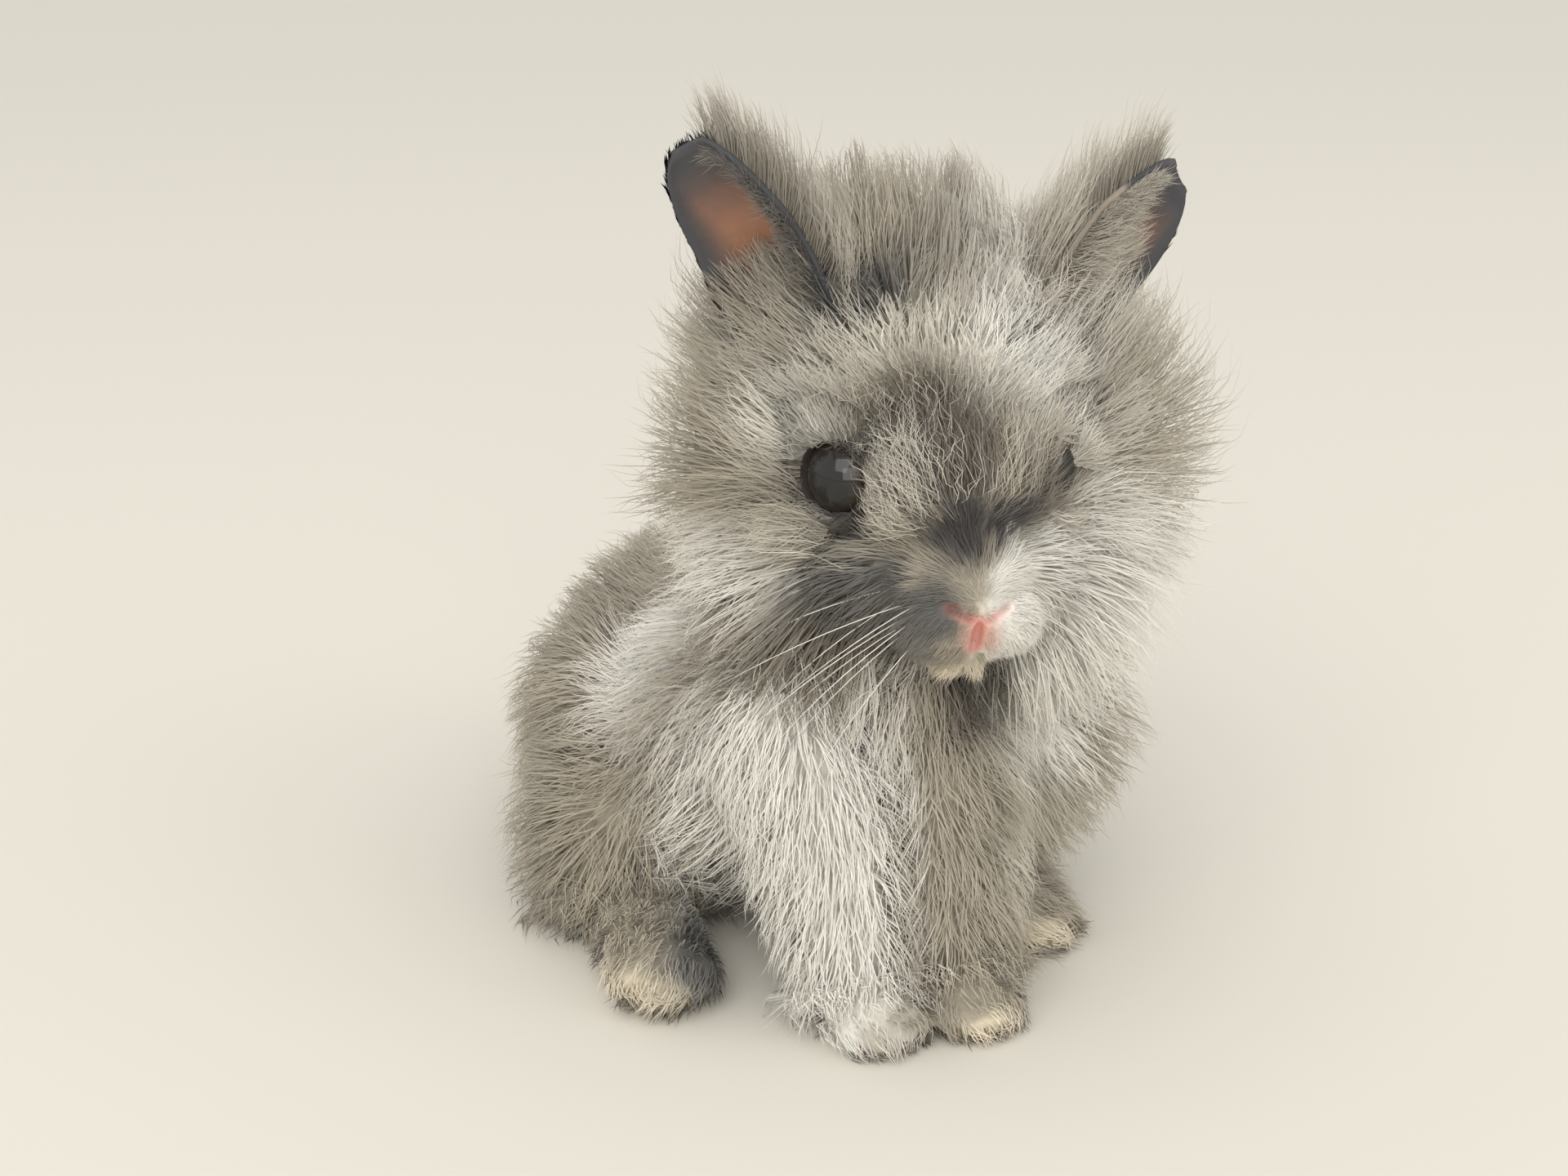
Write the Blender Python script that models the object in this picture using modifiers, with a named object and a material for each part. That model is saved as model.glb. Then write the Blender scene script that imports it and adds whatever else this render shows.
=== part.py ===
"""A young lionhead rabbit, sitting up on all four feet, as a still life-size model.

The animal faces -Y with +Z up and stands on the floor at z = 0. Lengths are in metres.
Each named part of the body is a closed solid, and neighbours meet with a thin gap between them.
A part has a smooth core, which holds the flesh and the inner share of the coat, and flat tapered
locks that grow out of it to the coat's outer surface.
The head is described in a frame of its own: +X is the animal's left, -Y its nose, +Z its crown.
"""

import math
import random

import bmesh
import bpy
from mathutils import Matrix, Vector
from mathutils.bvhtree import BVHTree

MM = 0.001
GAP = 0.4 * MM
NEARLY = 0.001 * MM
UP = Vector((0, 0, 1))
DOWN = Vector((0, 0, -1))
SIDES = {"left": 1, "right": -1}

# Places on the body
ORIGIN_SHIFT = Vector((-4.5, 2.3, 0.0)) * MM
HEAD_CENTRE = Vector((10.5, -40.0, 93.0)) * MM
HEAD_YAW = math.radians(-14.0)
CHEST = Vector((9.0, -28.0, 44.0)) * MM
SHOULDER = {"left": Vector((28.0, -24.0, 37.0)) * MM, "right": Vector((-8.0, -19.0, 38.0)) * MM}
RIBS = Vector((0.0, 6.0, 35.0)) * MM
WITHERS = Vector((3.0, 1.0, 52.0)) * MM
RUMP = Vector((-3.0, 33.0, 31.0)) * MM
TAIL_ROOT = Vector((-3.0, 55.0, 24.0)) * MM
THIGH = {"left": Vector((30.0, 5.0, 26.0)) * MM, "right": Vector((-25.0, 12.0, 24.0)) * MM}
KNEE = {"left": Vector((30.0, -12.0, 20.0)) * MM, "right": Vector((-32.0, -3.0, 17.0)) * MM}
HEEL_PLACE = {"left": Vector((33.0, 0.0, 5.5)) * MM, "right": Vector((-32.0, 4.0, 5.5)) * MM}
TOES_PLACE = {"left": Vector((29.0, -42.0, 5.5)) * MM, "right": Vector((-36.5, -37.0, 5.5)) * MM}
PAW_PLACE = {"left": Vector((8.5, -61.0, 4.6)) * MM, "right": Vector((-8.5, -60.0, 4.6)) * MM}

# Places on the head, in its own frame
EYE_PLACE = Vector((14.0, -9.0, -1.4)) * MM
EYE_RADIUS = 7.6 * MM
EYE_FACING = Vector((0.80, -0.60, 0.10))
LID_THICKNESS = 1.3 * MM
LID_OPENING = Vector((6.9, 5.4, 7.0)) * MM
NOSE = Vector((0.0, -36.5, -18.0)) * MM
EAR_ROOT = Vector((12.0, 9.0, 12.0)) * MM
EAR_TIP = {"left": Vector((46.0, 21.0, 40.0)) * MM, "right": Vector((-38.0, 6.0, 49.0)) * MM}
EAR_HALF_WIDTH = 11.0 * MM
EAR_THICKNESS = 1.7 * MM

# Each lock of an ear's fringe: how far up the rim it grows, and its length
EAR_FRINGE = ((0.30, 15 * MM), (0.45, 18 * MM), (0.60, 19 * MM), (0.74, 18 * MM), (0.87, 15 * MM))
FRINGE_HALF_WIDTH = 3.2 * MM

# The angle to the ear at which each fringe lock starts out, and at which it ends, in degrees
FRINGE_LEAN = {"left": (80, 45), "right": (62, 10)}

# How deep the wool is on each cheek and jowl
CHEEK_WOOL = {"left": 25.0 * MM, "right": 21.0 * MM}
JOWL_WOOL = 23.0 * MM

# The share of the coat's depth that each part's core holds, under the locks
CORE_SHARE = 0.42

# Locks
SHALLOW_COAT = 2.2 * MM
ON_SKIN = 0.05 * MM
ROOT_SINK = 3.0 * MM
LOCK_STEPS = 9
LOCK_RINGS = ((0, 0.70), (3, 1.0), (6, 0.78))
LOCK_FLATNESS = 0.19
THINNEST = 0.5 * MM
STEEPEST = 0.93
RIDGE_SINK = 0.35
TRIES_PER_ROOT = 14

# Each try at a place for a lock: how much higher its tip stands, how far its lie turns, and its length
TRIES = ((0, 0, 1.0), (3, 15, 1.0), (3, -15, 1.0), (6, 0, 1.0), (6, 35, 1.0), (6, -35, 1.0), (9, 0, 0.8),
         (9, 35, 0.75), (9, -35, 0.75), (6, 0, 0.6), (10, 0, 0.5))
REDRAWS = 6

# How far up through its own coat a root may lie inside another part's coat before it is left bare
COVERED = 0.5

# Parts that come first keep their shape where two meet, and the later one gives way
ORDER = ("eye", "head", "ear", "hind_foot", "hind_leg", "torso", "forepaw", "foreleg", "neck", "tail")

HEAD_FRAME = Matrix.Translation(HEAD_CENTRE) @ Matrix.Rotation(HEAD_YAW, 4, "Z")


def clear_scene():
    """Empty the file, so that only the rabbit is in it."""
    for obj in list(bpy.data.objects):
        bpy.data.objects.remove(obj)


def material(name, colour, roughness):
    """A plain Principled finish for one sort of surface."""
    made = bpy.data.materials.new(name)
    made.use_nodes = True
    shader = made.node_tree.nodes["Principled BSDF"]
    shader.inputs["Base Color"].default_value = (*colour, 1.0)
    shader.inputs["Roughness"].default_value = roughness
    return made


def new_object(name, bm, collection=None):
    """Turn a finished bmesh into an object, in the given collection or as a helper."""
    mesh = bpy.data.meshes.new(name)
    bm.to_mesh(mesh)
    bm.free()
    obj = bpy.data.objects.new(name, mesh)
    (collection or bpy.context.scene.collection).objects.link(obj)
    return obj


def settle(obj):
    """Apply all of an object's modifiers."""
    graph = bpy.context.evaluated_depsgraph_get()
    finished = bpy.data.meshes.new_from_object(obj.evaluated_get(graph))
    old = obj.data
    obj.modifiers.clear()
    obj.data = finished
    bpy.data.meshes.remove(old)


def tree_of(obj):
    """A search tree over an object's faces."""
    points = [vert.co for vert in obj.data.vertices]
    return BVHTree.FromPolygons(points, [face.vertices for face in obj.data.polygons])


def on_head(point):
    """A point of the head's own frame, placed on the body."""
    return HEAD_FRAME @ point


def mirrored(point, sign):
    """The same point on the left or right side."""
    return Vector((point.x * sign, point.y, point.z))


def facing(centre, direction):
    """A frame at a point whose +Z looks along a direction."""
    return Matrix.Translation(centre) @ direction.to_track_quat("Z", "Y").to_matrix().to_4x4()


class Lump:
    """An ellipsoid of flesh, and how deep the coat is over it."""

    def __init__(self, centre, radii, depth, turn=None):
        self.frame = Matrix.Translation(centre) @ (turn or Matrix.Identity(4))
        self.radii = Vector(radii)
        self.depth = depth

    def placed(self, frame):
        """The same lump in another frame."""
        self.frame = frame @ self.frame
        return self

    def add_to(self, bm, share):
        """Add the flesh and a share of its coat's depth to a bmesh."""
        swollen = self.radii + Vector((1, 1, 1)) * self.depth * share
        frame = self.frame @ Matrix.Diagonal((*swollen, 1.0))
        bmesh.ops.create_icosphere(bm, subdivisions=3, radius=1.0, matrix=frame)


def limb(points, radii, depth, flat=1.0):
    """Lumps set close along a line of points, for a tapered limb."""
    lumps = []
    for (start, end), (near, far) in zip(zip(points, points[1:]), zip(radii, radii[1:])):
        steps = max(2, round((end - start).length / (0.35 * min(near, far))))
        for step in range(steps + 1):
            share = step / steps
            radius = near + (far - near) * share
            lumps.append(Lump(start.lerp(end, share), (radius, radius, radius * flat), depth))
    return lumps


def blob(name, lumps, share, voxel, rounds, faces, collection=None):
    """Melt overlapping lumps into one smooth closed skin with about the given number of faces."""
    bm = bmesh.new()
    for lump in lumps:
        lump.add_to(bm, share)
    obj = new_object(name, bm, collection)
    remesh = obj.modifiers.new("melt", "REMESH")
    remesh.mode = "VOXEL"
    remesh.voxel_size = voxel
    smooth = obj.modifiers.new("smooth", "SMOOTH")
    smooth.iterations = rounds
    settle(obj)
    triangles = sum(len(face.vertices) - 2 for face in obj.data.polygons)
    thin = obj.modifiers.new("thin", "DECIMATE")
    thin.ratio = min(1.0, faces / triangles)
    settle(obj)
    return obj


class Part:
    """One named part: its core, and the outer surface of its coat."""

    def __init__(self, name, lumps, voxel, rounds, faces, collection):
        self.name = name
        self.obj = blob(name, lumps, CORE_SHARE, voxel, rounds, faces, collection)
        outline = blob(name + "_outline", lumps, 1.0, voxel * 1.5, rounds, faces)
        self.outline = tree_of(outline)
        bpy.data.objects.remove(outline)
        self.uncut = None
        self.lock_count = 0


def is_inside(tree, point):
    """True where a point lies inside a closed smooth surface."""
    near, normal, _, _ = tree.find_nearest(point)
    return (point - near).dot(normal) < 0


def boolean(obj, operation, other):
    """Join an object with, or cut it by, another object or a collection, and keep one closed piece."""
    step = obj.modifiers.new("step", "BOOLEAN")
    step.operation = operation
    step.solver = "MANIFOLD"
    if isinstance(other, bpy.types.Collection):
        step.operand_type = "COLLECTION"
        step.collection = other
    else:
        step.object = other
    settle(obj)
    keep_largest(obj)


def join_all(obj, pieces):
    """Fuse closed bmeshes onto an object in one union."""
    group = bpy.data.collections.new(obj.name + "_pieces")
    for piece in pieces:
        new_object(obj.name + "_piece", piece, group)
    boolean(obj, "UNION", group)
    for piece in list(group.objects):
        bpy.data.objects.remove(piece)
    bpy.data.collections.remove(group)


def boolean_once(obj, operation, other):
    """The same with a helper object that nothing else needs."""
    boolean(obj, operation, other)
    bpy.data.objects.remove(other)


def keep_largest(obj):
    """Keep only the closed surface that holds the most space."""
    bm = bmesh.new()
    bm.from_mesh(obj.data)
    left = set(bm.faces)
    shells = []
    while left:
        shell, front = set(), [left.pop()]
        while front:
            face = front.pop()
            shell.add(face)
            near = {link for edge in face.edges for link in edge.link_faces if link in left}
            left -= near
            front.extend(near)
        shells.append(shell)
    if len(shells) > 1:
        best = max(shells, key=shell_volume)
        spare = [face for shell in shells if shell is not best for face in shell]
        bmesh.ops.delete(bm, geom=spare, context="FACES")
        bm.to_mesh(obj.data)
    bm.free()


def shell_volume(shell):
    """The space inside a closed set of faces."""
    total = 0.0
    for face in shell:
        first, *rest = [vert.co for vert in face.verts]
        for second, third in zip(rest, rest[1:]):
            total += first.dot(second.cross(third)) / 6
    return total


def grown(obj, distance):
    """A helper copy of an object, swollen along its normals."""
    copy = obj.copy()
    copy.data = obj.data.copy()
    copy.name = obj.name + "_cutter"
    bpy.context.scene.collection.objects.link(copy)
    swell = copy.modifiers.new("swell", "DISPLACE")
    swell.strength = distance
    swell.mid_level = 0.0
    settle(copy)
    return copy


def stand_on_floor(obj):
    """Cut away what dips under the floor, which leaves a flat sole."""
    bm = bmesh.new()
    bmesh.ops.create_cube(bm, size=0.4, matrix=Matrix.Translation((0, 0, -0.2)))
    boolean_once(obj, "DIFFERENCE", new_object("floor_cutter", bm))


def boxes_meet(first, second):
    """True where the boxes round two objects overlap."""
    low = [[min(vert.co[k] for vert in obj.data.vertices) for k in range(3)] for obj in (first, second)]
    high = [[max(vert.co[k] for vert in obj.data.vertices) for k in range(3)] for obj in (first, second)]
    return all(low[0][k] < high[1][k] + GAP and low[1][k] < high[0][k] + GAP for k in range(3))


def in_order(parts):
    """The parts sorted by which keeps its shape first."""
    def rank(part):
        kind = part.name if part.name in ORDER else part.name.rsplit("_", 1)[0]
        return ORDER.index(kind)
    return sorted(parts, key=rank)


def give_way(parts):
    """Cut each core back from the ones that come before it, which leaves a thin gap."""
    ranked = in_order(parts)
    for part in ranked:
        part.uncut = tree_of(part.obj)
    cutters = [grown(part.obj, GAP) for part in ranked]
    for rank, part in enumerate(ranked):
        for cutter in cutters[:rank]:
            if boxes_meet(part.obj, cutter):
                boolean(part.obj, "DIFFERENCE", cutter)
    for cutter in cutters:
        bpy.data.objects.remove(cutter)


def loft(path, sizes, over):
    """A closed bmesh of flat three-sided sections along a path, ending in a point.

    sizes holds the number of the path's point, the half width and the height of each section.
    """
    bm = bmesh.new()
    rings = []
    for index, half_width, height in sizes:
        heading = (path[index + 1] - path[max(index - 1, 0)]).normalized()
        side = heading.cross(over).normalized()
        ridge = side.cross(heading)
        corners = (side * half_width, ridge * height, side * -half_width)
        rings.append([bm.verts.new(path[index] + corner - ridge * height * RIDGE_SINK) for corner in corners])
    bm.faces.new(rings[0])
    for near, far in zip(rings, rings[1:]):
        for k in range(3):
            bm.faces.new((near[k], near[k - 1], far[k - 1], far[k]))
    tip = bm.verts.new(path[-1])
    for k in range(3):
        bm.faces.new((rings[-1][k], rings[-1][k - 1], tip))
    bmesh.ops.triangulate(bm, faces=bm.faces)
    bmesh.ops.recalc_face_normals(bm, faces=bm.faces)
    return bm


class Coat:
    """How the locks of one part grow.

    spacing is the distance between roots and length the usual length of a lock. A lock's width is
    a share of the spacing. A low rise makes it stand up from its root, a high one lets it lie
    longer, and droop is how far its weight bends it.
    """

    def __init__(self, seed, spacing, length, lie, rise=0.8, droop=0.25, width=1.05, bare=None):
        self.draw = random.Random(seed)
        self.spacing = spacing
        self.length = length
        self.lie = lie
        self.rise = rise
        self.droop = droop
        self.width = width
        self.bare = bare


def scatter(obj, coat):
    """Roots spread evenly and at random over a core, each with the surface's normal."""
    faces = list(obj.data.polygons)
    points = obj.data.vertices
    total = sum(face.area for face in faces)
    count = int(TRIES_PER_ROOT * total / coat.spacing ** 2)
    tries = coat.draw.choices(faces, [face.area for face in faces], k=count)
    roots = []
    for face in tries:
        corners = [points[index].co for index in face.vertices[:3]]
        a, b = coat.draw.random(), coat.draw.random()
        if a + b > 1:
            a, b = 1 - a, 1 - b
        place = corners[0] + (corners[1] - corners[0]) * a + (corners[2] - corners[0]) * b
        if all((place - other).length > coat.spacing for other, _ in roots):
            roots.append((place, face.normal.copy()))
    return roots


def lock_path(part, coat, root, normal, lie, lock_length, lift, sway):
    """Points along a lock that follows the body's curve and climbs to the coat's surface at its tip."""
    path = [root]
    stride = lock_length / LOCK_STEPS
    depth = 0.0
    for step in range(LOCK_STEPS):
        share = (step + 1) / LOCK_STEPS
        near, near_normal, _, _ = part.uncut.find_nearest(path[-1])
        normal = (normal + near_normal).normalized()
        top, _, _, reach = part.outline.ray_cast(near, near_normal)
        depth = reach if top else depth
        across = normal.cross(lie).normalized()
        way = lie + across * sway * share + DOWN * coat.droop * share
        way = (way - normal * way.dot(normal)).normalized()
        target = depth * share ** coat.rise + lift * share
        climb = (target - (path[-1] - near).length) / stride
        climb = max(-STEEPEST, min(climb, STEEPEST))
        path.append(path[-1] + (way * math.sqrt(1 - climb * climb) + normal * climb) * stride)
    return path


def lock_bmesh(path, normal, half_width, margin=0.0):
    """One lock along its path, grown by a margin where room is tested."""
    first = (path[1] - path[0]).normalized()
    last = (path[-1] - path[-2]).normalized()
    sunk = [path[0] - first * ROOT_SINK, *path[1:-1], path[-1] + last * margin]
    sizes = []
    for index, share in LOCK_RINGS:
        width = half_width * share + margin
        height = max(half_width * share * 2 * LOCK_FLATNESS, THINNEST) + margin * 2
        sizes.append((index, width, height))
    return loft(sunk, sizes, normal)


class Room:
    """What the locks must stay clear of: the cores and locks of the other parts, and the floor."""

    def __init__(self, parts):
        self.taken = []
        for part in parts:
            points = [vert.co for vert in part.obj.data.vertices]
            self.take(part.name, points, tree_of(part.obj))

    def take(self, owner, points, tree):
        """Note that a shape fills its place."""
        low = [min(point[k] for point in points) for k in range(3)]
        high = [max(point[k] for point in points) for k in range(3)]
        self.taken.append((owner, low, high, tree))

    def has_place(self, owner, bm):
        """True where a shape of this owner crosses no other part and not the floor."""
        points = [vert.co for vert in bm.verts]
        low = [min(point[k] for point in points) for k in range(3)]
        high = [max(point[k] for point in points) for k in range(3)]
        if low[2] < 0:
            return False
        tree = BVHTree.FromBMesh(bm)
        for other, other_low, other_high, other_tree in self.taken:
            near = all(low[k] < other_high[k] and other_low[k] < high[k] for k in range(3))
            if other != owner and near and tree.overlap(other_tree):
                return False
        return True


def touches_itself(obj):
    """True where points that nearly coincide would join more than two faces along an edge."""
    bm = bmesh.new()
    bm.from_mesh(obj.data)
    bmesh.ops.remove_doubles(bm, verts=bm.verts, dist=NEARLY)
    found = any(not edge.is_manifold for edge in bm.edges)
    bm.free()
    return found


def dress(part, coat, cover, room):
    """Give a part its locks, drawn again where their union would touch itself.

    cover holds the parts whose coats hide some of this one, where it grows none.
    """
    core = part.obj.data.copy()
    taken = len(room.taken)
    for _ in range(REDRAWS):
        grow_locks(part, coat, cover, room)
        if not touches_itself(part.obj):
            break
        part.obj.data = core.copy()
        del room.taken[taken:]


def grow_locks(part, coat, cover, room):
    """Grow one part's locks out to its coat's surface, each clear of the other parts."""
    locks = []
    for root, normal in scatter(part.obj, coat):
        near, _, _, distance = part.uncut.find_nearest(root)
        out, _, _, depth = part.outline.ray_cast(root, normal)
        if distance > ON_SKIN or out is None or depth < SHALLOW_COAT:
            continue
        if coat.bare and coat.bare(root):
            continue
        if any(is_inside(other.outline, root.lerp(out, COVERED)) for other in cover):
            continue
        lie = coat.lie(root, normal)
        lie = (lie - normal * lie.dot(normal)).normalized()
        sway = coat.draw.uniform(-0.35, 0.35)
        half_width = coat.spacing * coat.width * 0.5 * coat.draw.uniform(0.85, 1.15)
        length = max(coat.length, depth * 1.25) * coat.draw.uniform(0.85, 1.15)
        lock = find_place(part, coat, room, (root, normal, lie, length, half_width, sway))
        if lock:
            room.take(part.name, [vert.co.copy() for vert in lock.verts], BVHTree.FromBMesh(lock))
            locks.append(lock)
    part.lock_count = len(locks)
    if locks:
        join_all(part.obj, locks)


def find_place(part, coat, room, lock):
    """One lock, higher, turned or shorter where it would cross another part, or None."""
    root, normal, lie, length, half_width, sway = lock
    for higher, turn, shorter in TRIES:
        way = Matrix.Rotation(math.radians(turn), 3, normal) @ lie
        path = lock_path(part, coat, root, normal, way, length * shorter, higher * MM, sway)
        tested = lock_bmesh(path, normal, half_width, GAP)
        fits = room.has_place(part.name, tested)
        tested.free()
        if fits:
            return lock_bmesh(path, normal, half_width)
    return None


def build_eye(side, collection):
    """One eyeball."""
    bm = bmesh.new()
    centre = on_head(mirrored(EYE_PLACE, SIDES[side]))
    bmesh.ops.create_uvsphere(bm, u_segments=14, v_segments=8, radius=EYE_RADIUS,
                              matrix=Matrix.Translation(centre))
    return new_object("eye_" + side, bm, collection)


def head_lumps():
    """The skull, cheeks, muzzle and chin, and the deep wool on the crown and cheeks."""
    lumps = [
        Lump(Vector((0, 5, 4)) * MM, Vector((18.5, 22, 17)) * MM, 2 * MM),
        Lump(Vector((0, 2, 12)) * MM, Vector((13, 14, 10)) * MM, 8 * MM),
        Lump(Vector((-5, 14, 10)) * MM, Vector((13, 12, 12)) * MM, 25 * MM),
        Lump(Vector((6, 16, 8)) * MM, Vector((13, 12, 12)) * MM, 22 * MM),
        Lump(Vector((0, -14, -4)) * MM, Vector((12.5, 16, 13)) * MM, 2 * MM),
        Lump(Vector((0, -25, -13)) * MM, Vector((9.0, 10, 9.0)) * MM, 1.5 * MM),
        Lump(Vector((0, -32.5, -14.8)) * MM, Vector((4.4, 4.2, 3.6)) * MM, 0.5 * MM),
        Lump(Vector((0, -24, -23.5)) * MM, Vector((5.5, 8, 5.0)) * MM, 1.5 * MM),
        Lump(Vector((0, -8, -22)) * MM, Vector((9, 10, 7)) * MM, 6 * MM),
    ]
    for side, sign in SIDES.items():
        cheek = mirrored(Vector((17, 14, -6)) * MM, sign)
        jowl = mirrored(Vector((13, 2, -21)) * MM, sign)
        whisker_bed = mirrored(Vector((8, -15, -15)) * MM, sign)
        lip = mirrored(Vector((4.6, -28.5, -18.5)) * MM, sign)
        lumps.append(Lump(cheek, Vector((9, 10, 11)) * MM, CHEEK_WOOL[side]))
        lumps.append(Lump(jowl, Vector((7, 8, 8)) * MM, JOWL_WOOL))
        lumps.append(Lump(whisker_bed, Vector((7, 10, 8)) * MM, 4 * MM))
        lumps.append(Lump(lip, Vector((5.4, 7, 5.2)) * MM, 1.2 * MM))
    return [lump.placed(HEAD_FRAME) for lump in lumps]


def groove(points, half_width, depth):
    """A cutter for a crease that runs along points of the head's own frame."""
    path = [on_head(point * MM) for point in points]
    out = (on_head(Vector((0, -1, -0.2))) - on_head(Vector((0, 0, 0)))).normalized()
    sizes = [(index, half_width, depth) for index in range(len(path) - 1)]
    return new_object("groove_cutter", loft(path, sizes, out))


def carve_face(head):
    """The slit of the nose, the nostrils and the line of the mouth."""
    slit = [Vector((0, -37.0, -17.0)), Vector((0, -36.3, -19.5)), Vector((0, -34.6, -23)),
            Vector((0, -32, -25.5))]
    boolean_once(head, "DIFFERENCE", groove(slit, 0.45 * MM, 2.2 * MM))
    for sign in SIDES.values():
        nostril = [Vector((0.4, -36.8, -17.7)), Vector((2.2, -36.0, -16.4)), Vector((4.0, -34.6, -14.7)),
                   Vector((5.2, -33.0, -13.3))]
        mouth = [Vector((-0.3, -33.9, -23.4)), Vector((3.0, -33.0, -23.9)), Vector((6.5, -29.0, -23.4)),
                 Vector((8.6, -24.0, -21.9)), Vector((9.6, -20.0, -20.3))]
        boolean_once(head, "DIFFERENCE", groove([mirrored(p, sign) for p in nostril], 0.75 * MM, 2.0 * MM))
        boolean_once(head, "DIFFERENCE", groove([mirrored(p, sign) for p in mouth], 0.55 * MM, 2.2 * MM))


def add_lids(head, side):
    """Two lids in one shell round the eye, open in an almond."""
    sign = SIDES[side]
    centre = mirrored(EYE_PLACE, sign)
    out = mirrored(EYE_FACING, sign).normalized()
    bm = bmesh.new()
    bmesh.ops.create_uvsphere(bm, u_segments=18, v_segments=12, radius=EYE_RADIUS + LID_THICKNESS,
                              matrix=HEAD_FRAME @ facing(centre, out))
    boolean_once(head, "UNION", new_object("lid", bm))
    bm = bmesh.new()
    opening = HEAD_FRAME @ facing(centre + out * EYE_RADIUS, out) @ Matrix.Diagonal((*LID_OPENING, 1.0))
    bmesh.ops.create_uvsphere(bm, u_segments=16, v_segments=10, radius=1.0, matrix=opening)
    boolean_once(head, "DIFFERENCE", new_object("lid_cutter", bm))


def build_head(collection):
    """The head in one skin, with its lids, nostrils, lips and mouth."""
    head = Part("head", head_lumps(), 1.2 * MM, 5, 1800, collection)
    for side in SIDES:
        add_lids(head.obj, side)
    carve_face(head.obj)
    return head


def build_neck(collection):
    """The neck inside the mane, from the chest to the back of the skull."""
    nape = on_head(Vector((0, 12, -8)) * MM)
    lumps = limb([CHEST + Vector((0, 4, 8)) * MM, nape], [12 * MM, 11 * MM], 22 * MM)
    for sign in SIDES.values():
        ruff = on_head(mirrored(Vector((10, 20, -6)) * MM, sign))
        lumps.append(Lump(ruff, Vector((3, 4, 5)) * MM, 30 * MM))
    return Part("neck", lumps, 2.4 * MM, 4, 380, collection)


def build_torso(collection):
    """Chest, shoulders, ribs and rump."""
    lumps = [
        Lump(RIBS, Vector((21, 37, 17)) * MM, 11 * MM),
        Lump(CHEST, Vector((22, 12, 19)) * MM, 18 * MM),
        Lump(RUMP, Vector((21, 18, 18)) * MM, 11 * MM),
        Lump(WITHERS, Vector((13, 15, 9)) * MM, 13 * MM),
    ]
    for side in SIDES:
        lumps.append(Lump(SHOULDER[side], Vector((12, 11, 15)) * MM, 19 * MM))
    return Part("torso", lumps, 2.6 * MM, 4, 560, collection)


def add_claws(part, toes, forward):
    """A short curved claw at the end of each toe."""
    claws = []
    for toe in toes:
        ahead = (forward + DOWN * 0.15).normalized()
        path = [toe - forward * 2 * MM, toe + ahead * 1.4 * MM, toe + ahead * 3 * MM + DOWN * 0.6 * MM]
        claws.append(loft(path, [(0, 0.9 * MM, 1.6 * MM), (1, 0.7 * MM, 1.2 * MM)], UP))
    join_all(part.obj, claws)
    return part


def build_hind_leg(side, collection):
    """The folded thigh against the flank."""
    lean = Matrix.Rotation(math.radians(8), 4, "X")
    thigh = Lump(THIGH[side], Vector((11, 27, 17)) * MM, 11 * MM, lean)
    knee = Lump(KNEE[side], Vector((10, 13, 12)) * MM, 12 * MM)
    return Part("hind_leg_" + side, [thigh, knee], 2.4 * MM, 3, 320, collection)


def build_hind_foot(side, collection):
    """The long hind foot, flat on the floor, with four toes."""
    heel, toes = HEEL_PLACE[side], TOES_PLACE[side]
    lumps = limb([heel, toes], [6.5 * MM, 6.5 * MM], 1.5 * MM, 0.8)
    forward = (toes - heel).normalized()
    across = forward.cross(UP)
    tips = []
    for toe, reach in zip((-1.5, -0.5, 0.5, 1.5), (4.0, 7.0, 6.5, 3.0)):
        start = toes + across * toe * 3.6 * MM + DOWN * 0.8 * MM
        tip = start + (forward + across * toe * 0.12) * reach * MM
        lumps += limb([start - forward * 7 * MM, tip], [3.2 * MM, 3.0 * MM], 0.8 * MM)
        tips.append(tip + forward * 3.2 * MM)
    foot = Part("hind_foot_" + side, lumps, 0.9 * MM, 2, 320, collection)
    return add_claws(foot, tips, forward)


def build_foreleg(side, collection):
    """The upright foreleg down to the wrist."""
    paw = PAW_PLACE[side]
    elbow = Vector((paw.x * 1.25, -46 * MM, 34 * MM))
    shoulder = Vector((paw.x * 1.4, -34 * MM, 48 * MM))
    wrist = paw + Vector((0, 5, 7)) * MM
    lumps = limb([shoulder, elbow, wrist], [10 * MM, 7.5 * MM, 5.5 * MM], 8 * MM)
    return Part("foreleg_" + side, lumps, 1.8 * MM, 3, 260, collection)


def build_forepaw(side, collection):
    """The forepaw with its toes."""
    paw = PAW_PLACE[side]
    lumps = [Lump(paw, Vector((6.2, 9, 5.4)) * MM, 1.5 * MM)]
    tips = []
    for toe, reach in zip((-1.5, -0.5, 0.5, 1.5), (7.5, 9.5, 9.5, 7.5)):
        start = paw + Vector((toe * 3.1, 0, -1.2)) * MM
        end = start + Vector((toe * 0.5, -reach, -0.4)) * MM
        lumps += limb([start, end], [2.9 * MM, 2.5 * MM], 0.8 * MM)
        tips.append(end + Vector((0, -2.7, 0.2)) * MM)
    forepaw = Part("forepaw_" + side, lumps, 0.9 * MM, 2, 300, collection)
    return add_claws(forepaw, tips, Vector((0, -1, 0)))


def build_tail(collection):
    """The short tail, held up against the rump."""
    lumps = limb([TAIL_ROOT, TAIL_ROOT + Vector((0, 6, 12)) * MM], [6.5 * MM, 5.5 * MM], 6 * MM)
    return Part("tail", lumps, 1.8 * MM, 2, 130, collection)


def ear_profile(share):
    """Half width of the ear along its length: narrow root, broad middle, round tip."""
    rise = 0.5 + 0.5 * min(1.0, share / 0.45) ** 0.8
    fall = math.sqrt(max(0.0, 1 - max(0.0, (share - 0.45) / 0.56) ** 2.2))
    return rise * (0.12 + 0.88 * fall)


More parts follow.
